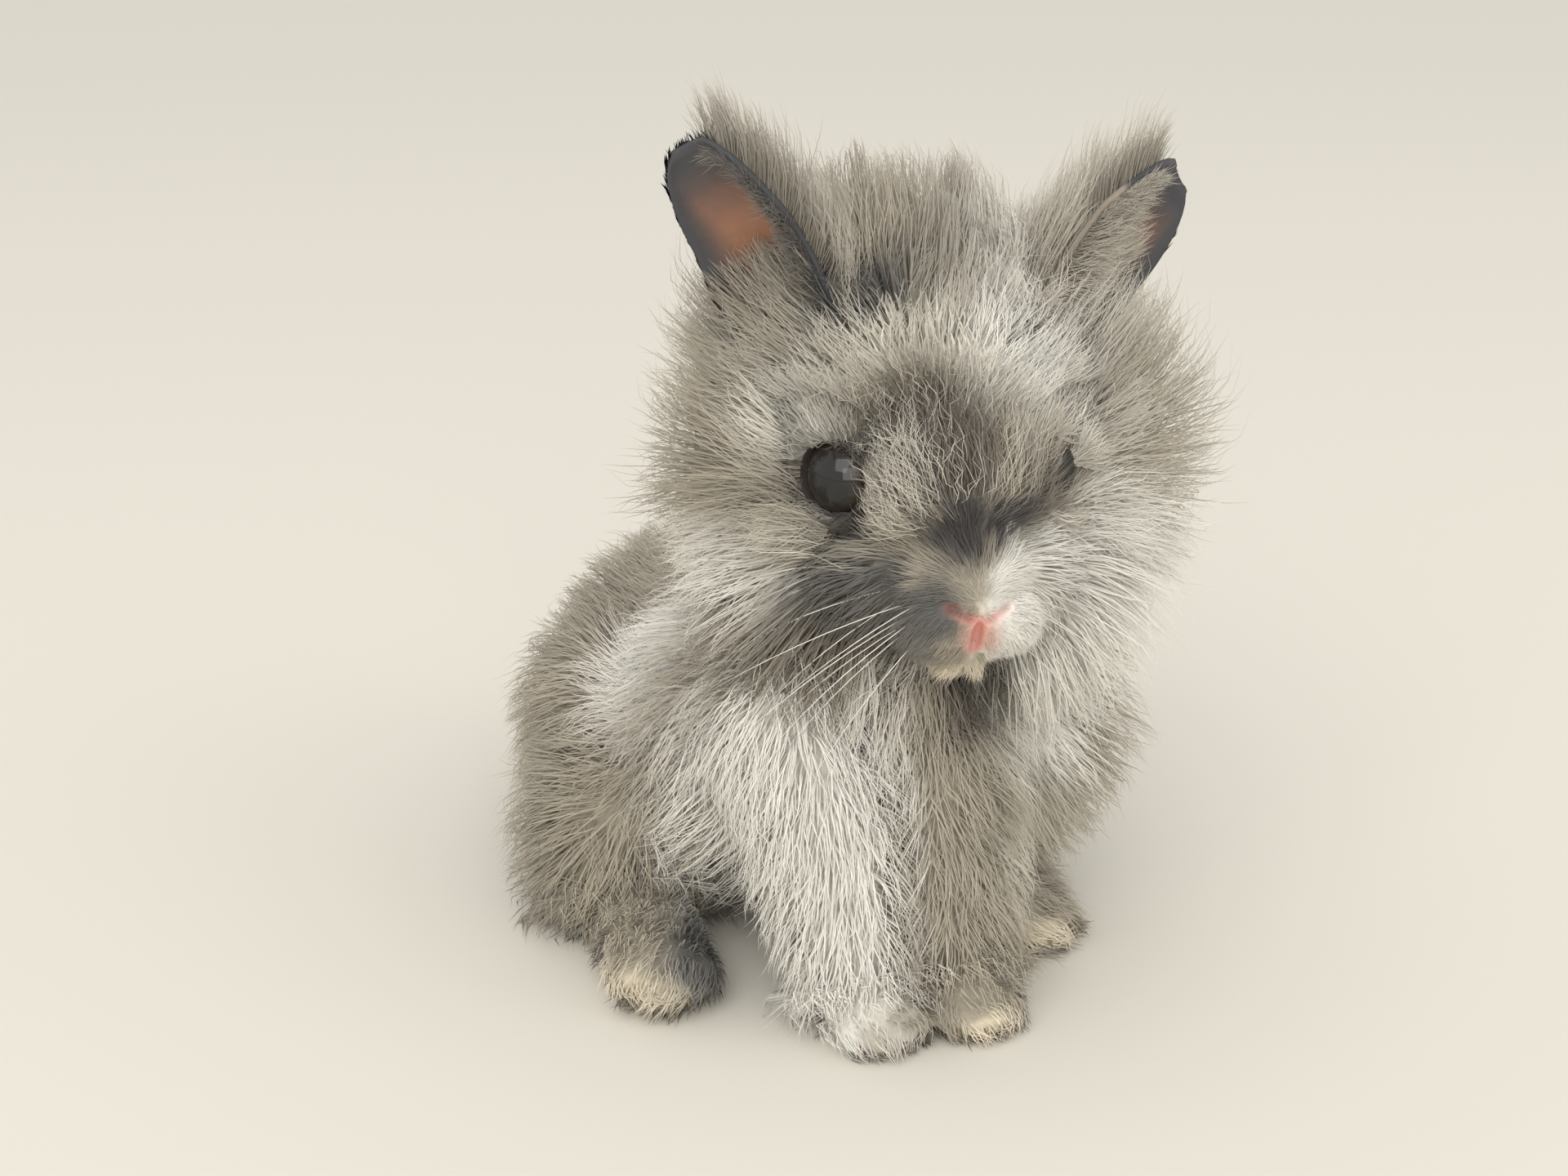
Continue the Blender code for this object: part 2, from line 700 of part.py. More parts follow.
def ear_axes(side):
    """The ear's root, tip, direction, the way its cup opens and the way across it, on the head."""
    sign = SIDES[side]
    root, tip = mirrored(EAR_ROOT, sign), EAR_TIP[side]
    along = (tip - root).normalized()
    out = Vector((sign * 0.72, -0.69, 0.0))
    out = (out - along * out.dot(along)).normalized()
    return root, tip, along, out, along.cross(out)


def ear_point(side, turn, share):
    """A point of the ear's sheet: turn runs from rim to rim, share from root to tip."""
    root, tip, _, out, across = ear_axes(side)
    half_width = EAR_HALF_WIDTH * ear_profile(share)
    opening = math.radians(120 - 78 * min(1.0, share * 1.6))
    radius = half_width / math.sin(min(opening, math.radians(85)))
    angle = turn * opening
    place = root.lerp(tip, share) + across * radius * math.sin(angle)
    return on_head(place + out * radius * (math.cos(opening * 0.5) - math.cos(angle)))


def ear_sheet(side):
    """The ear as an open curved sheet: a funnel at its root, a shallow cup at its tip."""
    bm = bmesh.new()
    bmesh.ops.create_grid(bm, x_segments=8, y_segments=8, size=1.0)
    for vert in bm.verts:
        vert.co = ear_point(side, vert.co.x, (vert.co.y + 1) / 2)
    bmesh.ops.recalc_face_normals(bm, faces=bm.faces)
    return bm


def fringe_lock(side, share, length):
    """A lock that grows out of the ear's inner rim and bends up past it."""
    rim_turn = min((-1, 1), key=lambda turn: abs((HEAD_FRAME.inverted() @ ear_point(side, turn, share)).x))
    rim = ear_point(side, rim_turn, share)
    inner = ear_point(side, rim_turn * 0.7, share)
    edge_out = (rim - inner).normalized()
    along = (ear_point(side, 0, 1.0) - ear_point(side, 0, 0.0)).normalized()
    path = [rim.lerp(inner, 0.75)]
    start, end = FRINGE_LEAN[side]
    for step in range(LOCK_STEPS):
        angle = math.radians(start + (end - start) * step / LOCK_STEPS)
        heading = along * math.cos(angle) + edge_out * math.sin(angle)
        path.append(path[-1] + heading * length / LOCK_STEPS)
    sizes = [(index, FRINGE_HALF_WIDTH * part, 1.0 * MM) for index, part in LOCK_RINGS]
    return loft(path, sizes, edge_out.cross(along))


class Ear:
    """One ear with its cup. It has no deep coat, so its core is its whole shape."""

    def __init__(self, side, collection):
        self.name = "ear_" + side
        self.obj = new_object(self.name, ear_sheet(side), collection)
        shell = self.obj.modifiers.new("shell", "SOLIDIFY")
        shell.thickness = EAR_THICKNESS
        shell.offset = 0.0
        settle(self.obj)
        join_all(self.obj, [fringe_lock(side, share, length) for share, length in EAR_FRINGE])
        self.uncut = None


class Eye:
    """One eyeball as a part."""

    def __init__(self, side, collection):
        self.name = "eye_" + side
        self.obj = build_eye(side, collection)
        self.uncut = None


def head_lie(root, normal):
    """Fur on the head lies away from the nose, and falls under the cheeks."""
    away = (root - on_head(NOSE)).normalized()
    below = on_head(EYE_PLACE).z - root.z
    return away + DOWN * min(0.9, max(0.0, below / (14 * MM)))


def mane_lie(root, normal):
    """The mane falls outwards, back and down from the face."""
    out = root - on_head(Vector((0, 0, -6)) * MM)
    return Vector((out.x, out.y + 12 * MM, out.z - 14 * MM))


def body_lie(root, normal):
    """Fur on the body lies back and down, and hangs straight down on the chest."""
    back = min(1.0, max(0.0, (root.y - CHEST.y) / (30 * MM)))
    apart = (root.x - CHEST.x) / (25 * MM) * (1 - back)
    return Vector((apart, back, 0.55 * back - 1))


def haunch_lie(root, normal):
    """Fur on the thigh lies back and down."""
    return Vector((0, 0.6, -0.8))


def leg_lie(root, normal):
    """Fur on the foreleg lies down and a little back."""
    return Vector((0, 0.35, -1))


def tail_lie(root, normal):
    """Fur on the tail lies towards its tip."""
    return Vector((0, 0.5, 1))


def bare_face(root):
    """True on the muzzle and round the eyes, where the fur is short."""
    place = HEAD_FRAME.inverted() @ root
    if (place - NOSE).length < 19 * MM:
        return True
    return any((place - mirrored(EYE_PLACE, sign)).length < 12 * MM for sign in SIDES.values())


def belly(root):
    """True under the body, where the fur is short."""
    return root.z < 12 * MM


def near_paw(root):
    """True low on the foreleg, where the fur is short."""
    return root.z < 19 * MM


def paint(obj, finish):
    """Give an object its one material."""
    obj.data.materials.clear()
    obj.data.materials.append(finish)


def main():
    clear_scene()
    collection = bpy.data.collections.new("lionhead_rabbit")
    bpy.context.scene.collection.children.link(collection)
    grey = material("grey_coat", (0.32, 0.30, 0.28), 0.9)
    white = material("white_coat", (0.82, 0.80, 0.76), 0.9)
    glossy = material("dark_eye", (0.02, 0.018, 0.016), 0.08)

    head, neck = build_head(collection), build_neck(collection)
    torso, tail = build_torso(collection), build_tail(collection)
    parts = [head, neck, torso, tail]
    haunches, legs, feet = [], [], []
    for side in SIDES:
        parts += [Eye(side, collection), Ear(side, collection)]
        haunches.append(build_hind_leg(side, collection))
        legs.append(build_foreleg(side, collection))
        feet += [build_hind_foot(side, collection), build_forepaw(side, collection)]
    parts += haunches + legs + feet
    for part in haunches + legs + feet + [torso]:
        stand_on_floor(part.obj)
    give_way(parts)

    room = Room(parts)
    haunch_coat = Coat(15, 11.0 * MM, 22 * MM, haunch_lie, 0.65, 0.15)
    leg_coat = Coat(17, 9.0 * MM, 16 * MM, leg_lie, 0.7, 0.0, bare=near_paw)
    coats = [(head, Coat(11, 9.4 * MM, 25 * MM, head_lie, 0.75, 0.3, bare=bare_face), []),
             (neck, Coat(12, 8.5 * MM, 20 * MM, mane_lie, 0.6, 0.4, width=1.2), []),
             (torso, Coat(13, 11.4 * MM, 29 * MM, body_lie, 0.7, 0.2, bare=belly), [head, neck])]
    coats += [(part, haunch_coat, []) for part in haunches]
    coats += [(part, leg_coat, []) for part in legs]
    coats += [(tail, Coat(14, 7.5 * MM, 14 * MM, tail_lie, 0.7, 0.0), [torso])]
    for part, coat, cover in coats:
        dress(part, coat, cover, room)
        print(part.name, part.lock_count, "locks")

    for part in parts:
        finish = glossy if part.name.startswith("eye") else white if part.name.startswith("fore") else grey
        paint(part.obj, finish)
        part.obj.data.transform(Matrix.Translation(ORIGIN_SHIFT))


main()
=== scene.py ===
# %% [markdown]
# # A young lionhead rabbit
# A lionhead is a small rabbit with a mane of long wool round its head. This one is about seven weeks
# old and sits on all four feet. The lesson builds it the way a modelmaker would: first the bare skin,
# then the eyes, ears and nose, and last the coat, which is many thousands of thin curved tufts.

import math

import bmesh
import bpy
import numpy as np
from mathutils import Matrix, Vector, kdtree
from mathutils.bvhtree import BVHTree


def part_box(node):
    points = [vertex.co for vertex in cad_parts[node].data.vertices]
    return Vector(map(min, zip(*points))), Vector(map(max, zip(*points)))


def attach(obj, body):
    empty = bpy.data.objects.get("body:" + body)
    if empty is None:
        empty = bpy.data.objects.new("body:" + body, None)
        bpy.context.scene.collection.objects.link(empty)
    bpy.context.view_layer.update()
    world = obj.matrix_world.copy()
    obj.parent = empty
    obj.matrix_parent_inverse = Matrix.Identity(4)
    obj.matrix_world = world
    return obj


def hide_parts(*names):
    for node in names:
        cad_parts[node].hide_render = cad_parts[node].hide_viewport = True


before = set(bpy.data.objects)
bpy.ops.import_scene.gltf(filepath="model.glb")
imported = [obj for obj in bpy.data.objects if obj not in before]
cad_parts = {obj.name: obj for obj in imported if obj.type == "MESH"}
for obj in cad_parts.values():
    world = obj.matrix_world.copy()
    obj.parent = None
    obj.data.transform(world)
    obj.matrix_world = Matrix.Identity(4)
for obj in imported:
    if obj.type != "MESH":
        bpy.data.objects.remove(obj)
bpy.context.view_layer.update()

# %% [markdown]
# ## Where things are
# Every place on the head is written in the head's own axes: +X is the rabbit's left, -Y its nose and
# +Z its crown. The two eyes of the solid model say where the head is and how far it is turned, so the
# rest of the body follows from them and nothing has to be moved by hand.

# %% Axes of the head and the body
MM = 0.001
SIDES = {"left": 1, "right": -1}
EYE_PLACE = Vector((14.0, -9.0, -1.4)) * MM
HEAD_CENTRE = Vector((10.5, -40.0, 93.0)) * MM


def middle(node):
    """The middle of a node's box."""
    low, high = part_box(node)
    return (Vector(low) + Vector(high)) / 2


eye_middle = {side: middle("eye_" + side) for side in SIDES}
across = eye_middle["left"] - eye_middle["right"]
HEAD_YAW = math.atan2(across.y, across.x)
turned = Matrix.Rotation(HEAD_YAW, 4, "Z")
between_eyes = (eye_middle["left"] + eye_middle["right"]) / 2
head_at = between_eyes - turned @ Vector((0, EYE_PLACE.y, EYE_PLACE.z))
HEAD_FRAME = Matrix.Translation(head_at) @ turned
BODY_FRAME = Matrix.Translation(head_at - HEAD_CENTRE)
print("head turned by", round(math.degrees(HEAD_YAW), 1), "degrees")


def mirrored(point, sign):
    """The same point on the other side of the head or body."""
    return Vector((point.x * sign, point.y, point.z))


def facing(centre, direction):
    """A frame at a point whose +Z looks along a direction."""
    return Matrix.Translation(centre) @ direction.to_track_quat("Z", "Y").to_matrix().to_4x4()


# %% [markdown]
# ## Flesh as lumps
# Muscle and skull are easiest to block in with ellipsoids, as a sculptor adds balls of clay. Each lump
# also knows how deep the coat is over it and which part of the body it belongs to. A limb is a row of
# lumps set so close that they read as one tapered form.

# %% Lumps of flesh
lumps = []


def add_lump(part, place, radii, depth, frame_of=None, turn=None):
    """Note one ellipsoid of flesh, in millimetres, with the depth of the coat over it."""
    matrix = (frame_of or BODY_FRAME) @ Matrix.Translation(Vector(place) * MM)
    if turn:
        matrix = matrix @ turn
    lumps.append((part, matrix, np.array(radii, float) * MM, depth * MM))


def add_limb(part, places, radii, depth, flat=1.0):
    """A row of lumps along a line of places."""
    for (start, end), (near, far) in zip(zip(places, places[1:]), zip(radii, radii[1:])):
        run = (Vector(end) - Vector(start)).length
        steps = max(2, round(run / (0.35 * min(near, far))))
        for step in range(steps + 1):
            share = step / steps
            radius = near + (far - near) * share
            add_lump(part, Vector(start).lerp(Vector(end), share), (radius, radius, radius * flat), depth)


# %% The head
CHEEK_WOOL = {"left": 27.0, "right": 21.0}
JOWL_WOOL = 23.0

HEAD_LUMPS = {
    "brain case": ((0, 5, 4), (18.5, 22, 17), 2),
    "crown": ((0, 2, 12), (13, 14, 10), 8),
    "poll, right": ((-5, 14, 10), (13, 12, 12), 25),
    "poll, left": ((6, 16, 8), (13, 12, 12), 22),
    "bridge": ((0, -14, -4), (12.5, 16, 13), 2),
    "muzzle": ((0, -25, -13), (9, 10, 9), 1.5),
    "tip of the nose": ((0.8, -32.5, -15.8), (4.6, 4.2, 3.8), 0.5),
    "chin": ((0, -24, -23.5), (5.5, 8, 5), 1.5),
    "jaw": ((0, -8, -22), (9, 10, 7), 6),
}
for place, radii, depth in HEAD_LUMPS.values():
    add_lump("head", place, radii, depth, HEAD_FRAME)
for side, sign in SIDES.items():
    add_lump("head", (17 * sign, 14, -6), (9, 10, 11), CHEEK_WOOL[side], HEAD_FRAME)
    add_lump("head", (13 * sign, 2, -21), (7, 8, 8), JOWL_WOOL, HEAD_FRAME)
    add_lump("head", (8 * sign, -15, -15), (7, 10, 8), 4, HEAD_FRAME)
    add_lump("head", (0.6 + 4.6 * sign, -28.5, -19.3), (5.4, 7, 5.2), 1.2, HEAD_FRAME)
print(len(lumps), "lumps in the head")

# %% [markdown]
# A rabbit that sits holds its hind legs folded, so the thigh hides the knee and the long hind foot lies
# flat under it. The forelegs stand as two short props under the chest. The places below are the joints
# of the skeleton, in the body's axes, because limbs look right when their joints are where they should be.

# %% The body, tail and legs
CHEST = (9.0, -28.0, 44.0)
SHOULDER = {"left": (28.0, -24.0, 37.0), "right": (-8.0, -19.0, 38.0)}
THIGH = {"left": (30.0, 5.0, 26.0), "right": (-25.0, 12.0, 24.0)}
KNEE = {"left": (30.0, -12.0, 20.0), "right": (-32.0, -3.0, 17.0)}
HEEL = {"left": (33.0, 0.0, 5.5), "right": (-32.0, 4.0, 5.5)}
TOES = {"left": (29.0, -42.0, 5.5), "right": (-36.5, -37.0, 5.5)}
PAW = {"left": (8.5, -61.0, 4.6), "right": (-8.5, -60.0, 4.6)}

add_lump("torso", (0, 6, 35), (21, 37, 17), 11)
add_lump("torso", CHEST, (22, 12, 19), 18)
add_lump("torso", (-3, 33, 31), (21, 18, 18), 11)
add_lump("torso", (3, 1, 52), (13, 15, 9), 13)
nape = BODY_FRAME.inverted() @ HEAD_FRAME @ (Vector((0, 12, -8)) * MM) / MM
add_limb("neck", [Vector(CHEST) + Vector((0, 4, 8)), nape], [12, 11], 22)
add_limb("tail", [(-3, 55, 24), (-3, 61, 36)], [6.5, 5.5], 6)

toe_tips = []
for side, sign in SIDES.items():
    add_lump("neck", (10 * sign, 20, -6), (3, 4, 5), 30, HEAD_FRAME)
    add_lump("torso", SHOULDER[side], (12, 11, 15), 19)
    add_lump("thigh", THIGH[side], (11, 27, 17), 11, turn=Matrix.Rotation(math.radians(8), 4, "X"))
    add_lump("thigh", KNEE[side], (10, 13, 12), 12)
    paw = Vector(PAW[side])
    add_limb("foreleg", [(paw.x * 1.4, -34, 48), (paw.x * 1.25, -46, 34), paw + Vector((0, 5, 7))],
             [10, 7.5, 5.5], 10)

# %% [markdown]
# Hind feet are long soles with four toes, and forepaws are short ones. Each toe is a short limb of its
# own, and its tip is noted, because a claw will grow there later.

# %% The feet, with their toes
TOE_ROW = (-1.5, -0.5, 0.5, 1.5)
HIND_TOES, FORE_TOES = (4.0, 7.0, 6.5, 3.0), (7.5, 9.5, 9.5, 7.5)
for side in SIDES:
    heel, toes = Vector(HEEL[side]), Vector(TOES[side])
    forward = (toes - heel).normalized()
    sideways = forward.cross(Vector((0, 0, 1)))
    add_limb("hind_foot", [heel, toes], [6.5, 6.5], 3.0, 0.8)
    for toe, reach in zip(TOE_ROW, HIND_TOES):
        start = toes + sideways * toe * 3.6 - Vector((0, 0, 0.8))
        tip = start + (forward + sideways * toe * 0.12) * reach
        add_limb("hind_foot", [start - forward * 7, tip], [3.2, 3.0], 0.8)
        toe_tips.append((tip + forward * 2.6, forward))
    paw = Vector(PAW[side])
    add_lump("forepaw", paw, (6.2, 9, 5.4), 2.5)
    for toe, reach in zip(TOE_ROW, FORE_TOES):
        start = paw + Vector((toe * 3.1, 0, -1.2))
        tip = start + Vector((toe * 0.5, -reach, -0.4))
        add_limb("forepaw", [start, tip], [2.9, 2.5], 0.8)
        toe_tips.append((tip + Vector((0, -2.2, 0.2)), Vector((0, -1, 0))))
print(len(lumps), "lumps in all,", len(toe_tips), "toes")

# %% [markdown]
# ## One skin
# A voxel remesh melts the overlapping lumps into one closed surface, which no joint of leg and body can
# show through. Only a small share of the coat's depth is added here, because the tufts supply the rest.
# The lids are two hollow half balls on the real animal; one ball round each eyeball stands for both, and
# an almond is cut out of it afterwards.

# %% Melt the lumps
SKIN_SHARE = 0.2
VOXEL = 1.1 * MM
EYE_RADIUS = 7.6 * MM
EYE_FACING = Vector((0.74, -0.67, 0.08))
LID_THICKNESS = 1.2 * MM
LID_OPENING = Vector((7.4, 5.9, 7.0)) * MM


def apply_modifiers(obj):
    """Turn an object's modifiers into plain mesh."""
    graph = bpy.context.evaluated_depsgraph_get()
    finished = bpy.data.meshes.new_from_object(obj.evaluated_get(graph))
    old = obj.data
    obj.modifiers.clear()
    obj.data = finished
    bpy.data.meshes.remove(old)


def object_from(bm, name):
    """A new object from a finished bmesh."""
    mesh = bpy.data.meshes.new(name)
    bm.to_mesh(mesh)
    bm.free()
    obj = bpy.data.objects.new(name, mesh)
    bpy.context.scene.collection.objects.link(obj)
    return obj


bm = bmesh.new()
for _, matrix, radii, depth in lumps:
    swollen = Matrix.Diagonal((*(radii + depth * SKIN_SHARE), 1.0))
    bmesh.ops.create_icosphere(bm, subdivisions=3, radius=1.0, matrix=matrix @ swollen)
eye_frames = {}
for side, sign in SIDES.items():
    out = mirrored(EYE_FACING, sign).normalized()
    eye_frames[side] = HEAD_FRAME @ facing(mirrored(EYE_PLACE, sign), out)
    bmesh.ops.create_icosphere(bm, subdivisions=3, radius=EYE_RADIUS + LID_THICKNESS,
                               matrix=eye_frames[side])
skin = object_from(bm, "skin")
remesh = skin.modifiers.new("melt", "REMESH")
remesh.mode = "VOXEL"
remesh.voxel_size = VOXEL
smooth = skin.modifiers.new("soften", "SMOOTH")
smooth.iterations = 4
apply_modifiers(skin)
print("skin has", len(skin.data.polygons), "faces")

# %% Open the lids
def cut_or_join(obj, operation, tool):
    """Cut an object by a helper, or join the helper to it, and remove the helper."""
    step = obj.modifiers.new("step", "BOOLEAN")
    step.operation = operation
    step.solver = "MANIFOLD"
    step.object = tool
    apply_modifiers(obj)
    bpy.data.objects.remove(tool)


for side in SIDES:
    bm = bmesh.new()
    almond = Matrix.Translation((0, 0, EYE_RADIUS)) @ Matrix.Diagonal((*LID_OPENING, 1.0))
    opening = eye_frames[side] @ almond
    bmesh.ops.create_uvsphere(bm, u_segments=48, v_segments=24, radius=1.0, matrix=opening)
    cut_or_join(skin, "DIFFERENCE", object_from(bm, "almond"))
print("with the lids open the skin has", len(skin.data.polygons), "faces")

# %% [markdown]
# ## Ears
# A young lionhead's ear is a short funnel at its root that opens into a shallow cup. One formula gives
# any point of that sheet: `turn` runs from rim to rim and `share` from root to tip. At the root the
# sheet wraps 120 degrees to each side, and toward the tip it opens by 78 of them. It is given its
# thickness and joined to the skin, and the same formula later tells the ear's fur where to grow.

# %% The sheet of an ear
EAR_ROOT = Vector((12.0, 9.0, 12.0)) * MM
EAR_TIP = {"left": Vector((46.0, 21.0, 40.0)) * MM, "right": Vector((-38.0, 6.0, 49.0)) * MM}
EAR_FACING = Vector((0.72, -0.69, 0.0))
EAR_HALF_WIDTH = 11.0 * MM
ROOT_WRAP, WRAP_LOST = 120, 78
EAR_THICKNESS = 1.2 * MM


def ear_profile(share):
    """Half width of the ear along its length: narrow root, broad middle, round tip."""
    rise = 0.5 + 0.5 * min(1.0, share / 0.45) ** 0.8
    fall = math.sqrt(max(0.0, 1 - max(0.0, (share - 0.45) / 0.56) ** 2.2))
    return rise * (0.12 + 0.88 * fall)


def ear_point(side, turn, share):
    """A point of the ear's sheet."""
    sign = SIDES[side]
    root, tip = mirrored(EAR_ROOT, sign), EAR_TIP[side]
    along = (tip - root).normalized()
    out = mirrored(EAR_FACING, sign)
    out = (out - along * out.dot(along)).normalized()
    opening = math.radians(ROOT_WRAP - WRAP_LOST * min(1.0, share * 1.6))
    radius = EAR_HALF_WIDTH * ear_profile(share) / math.sin(min(opening, math.radians(85)))
    angle = turn * opening
    place = root.lerp(tip, share) + along.cross(out) * radius * math.sin(angle)
    return HEAD_FRAME @ (place + out * radius * (math.cos(opening * 0.5) - math.cos(angle)))


for side in SIDES:
    bm = bmesh.new()
    bmesh.ops.create_grid(bm, x_segments=24, y_segments=30, size=1.0)
    for vert in bm.verts:
        vert.co = ear_point(side, vert.co.x, (vert.co.y + 1) / 2)
    bmesh.ops.recalc_face_normals(bm, faces=bm.faces)
    ear = object_from(bm, "ear")
    shell = ear.modifiers.new("thickness", "SOLIDIFY")
    shell.thickness = EAR_THICKNESS
    shell.offset = 0.0
    apply_modifiers(ear)
    cut_or_join(skin, "UNION", ear)
print("with lids and ears the skin has", len(skin.data.polygons), "faces")

# %% [markdown]
# ## Nose and mouth
# A rabbit's nose is a small pink Y: two slanting nostrils above a slit that splits the upper lip. The
# skin is cut finer there, and each vertex near one of these lines sinks in by a rounded amount, which is
# what a modelling tool would press into wax.

# %% Press in the nostrils, the slit and the mouth
NOSE = Vector((1.0, -36.2, -19.0)) * MM
SLIT = [(0, -17.3), (0, -19.3), (0, -21.4), (0, -23.4)]
NOSTRIL = [(0.2, -17.3), (1.7, -16.8), (3.1, -16.1), (4.4, -15.3)]
MOUTH = [(0, -24.4), (1.3, -25.2), (2.8, -25.8)]
FRONT = -80


def unit(vectors):
    """Rows of vectors, each made one long."""
    return vectors / (np.linalg.norm(vectors, axis=-1, keepdims=True) + 1e-12)


def from_eye(points, side):
    """How far each point is from the middle of an eyeball."""
    return np.linalg.norm(points - np.array(eye_frames[side].translation), axis=1)


def transformed(matrix, points):
    """Rows of points, moved by a matrix."""
    matrix = np.array(matrix)
    return points @ matrix[:3, :3].T + matrix[:3, 3]


def distance_to_line(points, line):
    """How far each point lies from a line of straight runs."""
    best = np.full(len(points), 1e9)
    for start, end in zip(line, line[1:]):
        start, end = np.array(start) * MM, np.array(end) * MM
        run = end - start
        share = np.clip((points - start) @ run / (run @ run), 0, 1)
        best = np.minimum(best, np.linalg.norm(points - start - share[:, None] * run, axis=1))
    return best


def rows(data, name, width=3):
    """One property of every vertex or face as rows of numbers."""
    flat = np.empty(len(data) * width, np.float32)
    data.foreach_get(name, flat)
    return flat.reshape(-1, width).astype(float)


bm = bmesh.new()
bm.from_mesh(skin.data)
into_head = HEAD_FRAME.inverted()
skin_surface = BVHTree.FromBMesh(bm)


def on_skin(line, sign=1):
    """A line of the face, given by its x and z on the head, laid on the skin from in front."""
    laid = []
    for x, z in line:
        start = HEAD_FRAME @ (Vector((NOSE.x / MM + x * sign, FRONT, z)) * MM)
        hit = skin_surface.ray_cast(start, HEAD_FRAME.to_3x3() @ Vector((0, 1, 0)))[0]
        laid.append(tuple(into_head @ hit / MM))
    return laid


slit_line = on_skin(SLIT)
nostril_lines = [on_skin(NOSTRIL, sign) for sign in (1, -1)]
mouth_lines = [on_skin(MOUTH, sign) for sign in (1, -1)]
print("the slit runs from", np.round(slit_line[0], 1), "to", np.round(slit_line[-1], 1))

FINE_REACH = (11 * MM, 7 * MM)
SKIN_OFF_FLOOR, FUR_OFF_FLOOR = 0.1 * MM, 0.2 * MM
for reach in FINE_REACH:
    near = [edge for edge in bm.edges
            if (into_head @ ((edge.verts[0].co + edge.verts[1].co) / 2) - NOSE).length < reach]
    bmesh.ops.subdivide_edges(bm, edges=near, cuts=1, use_grid_fill=True, smooth=0.0)
bmesh.ops.triangulate(bm, faces=[face for face in bm.faces if len(face.verts) > 4])
bm.to_mesh(skin.data)
bm.free()

points = rows(skin.data.vertices, "co")
normals = rows(skin.data.vertices, "normal")
on_head = transformed(into_head, points)
press = np.zeros(len(points))
for lines, width, deep in (([slit_line], 0.7, 0.8), (nostril_lines, 0.8, 1.1), (mouth_lines, 0.8, 0.8)):
    for line in lines:
        near = np.exp(-(distance_to_line(on_head, line) / (width * MM)) ** 2)
        press = np.maximum(press, near * deep * MM)
points -= normals * press[:, None]
points[:, 2] = np.maximum(points[:, 2], SKIN_OFF_FLOOR)
skin.data.vertices.foreach_set("co", points.astype(np.float32).ravel())
skin.data.update()
skin.data.shade_smooth()
print("pressed in by up to", round(press.max() * 1000, 2), "mm")

# %% [markdown]
# ## Markings
# A broken-coloured rabbit has patches of white in a grey-brown coat. Skin and fur have to agree, so one
# function gives the colour of the coat at any place. It starts from the grey ground and lays soft-edged
# blots over it, each with a named place on the head or the body, and ruffles their edges a little. A few
# blots are painted light and painted shade rather than markings, and their names say so.

# %% Soft noise and smooth steps
def linear(*srgb):
    """A colour as the eye sees it (0 to 255), turned into light."""
    share = np.array(srgb) / 255
    return np.where(share <= 0.04045, share / 12.92, ((share + 0.055) / 1.055) ** 2.4)


def step_up(value, low, high):
    """A smooth rise from 0 at low to 1 at high."""
    share = np.clip((value - low) / (high - low), 0, 1)
    return share * share * (3 - 2 * share)


wave_draw = np.random.default_rng(5)
WAVES = [(unit(wave_draw.normal(size=3)), wave_draw.uniform(0, 6.28)) for _ in range(24)]


def ruffle(points, size, first=0):
    """Soft noise from crossed waves of about the given size, between -1 and 1."""
    total = np.zeros(len(points))
    for number, (heading, phase) in enumerate(WAVES[first:first + 8]):
        total += np.sin(points @ heading * (6.28 / size) * (0.7 + 0.1 * number) + phase)
    return total / 3.2


print(len(WAVES), "waves to mix, eight at a time")


# %% [markdown]
# Blots are laid on in order, so a later one covers an earlier one. Each has a name, a tone, a centre and
# radii in millimetres, and the share of its radius over which its edge fades.

# %% The blots of the coat
GREY = linear(174, 165, 148)
BROWN = linear(122, 113, 98)
SLATE = linear(108, 106, 102)
PALE = linear(208, 202, 187)
ASH = linear(116, 108, 96)
ARC = linear(220, 214, 199)
DARK = linear(70, 67, 66)
WHITE = linear(240, 236, 226)
MILK = linear(228, 223, 210)
ROSE = linear(226, 186, 172)
UMBER = linear(98, 91, 82)
CREAM = linear(226, 214, 190)

BODY_BLOTS = [
    ("white band over the flank", WHITE, (-28, -4, 46), (13, 16, 22), 0.25),
    ("white side of the chest", WHITE, (-24, -32, 32), (12.5, 18, 20), 0.25),
    ("white right foreleg", WHITE, (-18, -52, 26), (18.5, 30, 46), 0.22),
    ("white left breast", WHITE, (33, -48, 45), (15, 16, 15), 0.3),
    # Painted light: a pale blot that lifts the shade on the grey breast.
    ("grey breast with painted light", PALE, (25, -54, 20), (10, 12, 10), 0.4),
    ("dark throat", UMBER, (13, -56, 51), (7, 8, 6), 0.4),
    ("slate over the hind foot", SLATE, (-31, -42, 8), (8, 11, 8), 0.5),
    ("cream hind toes", CREAM, (-46, -44, 2), (10, 14, 6), 0.35),
    ("cream left toes", CREAM, (29, -54, 2), (9, 8, 6), 0.3),
    ("cream paw", CREAM, (9, -76, 1), (7, 7, 5), 0.3),
    ("tail tip", WHITE, (-3, 66, 22), (9, 10, 9), 0.3),
    ("belly", CREAM, (0, 8, 8), (16, 44, 8), 0.3),
]
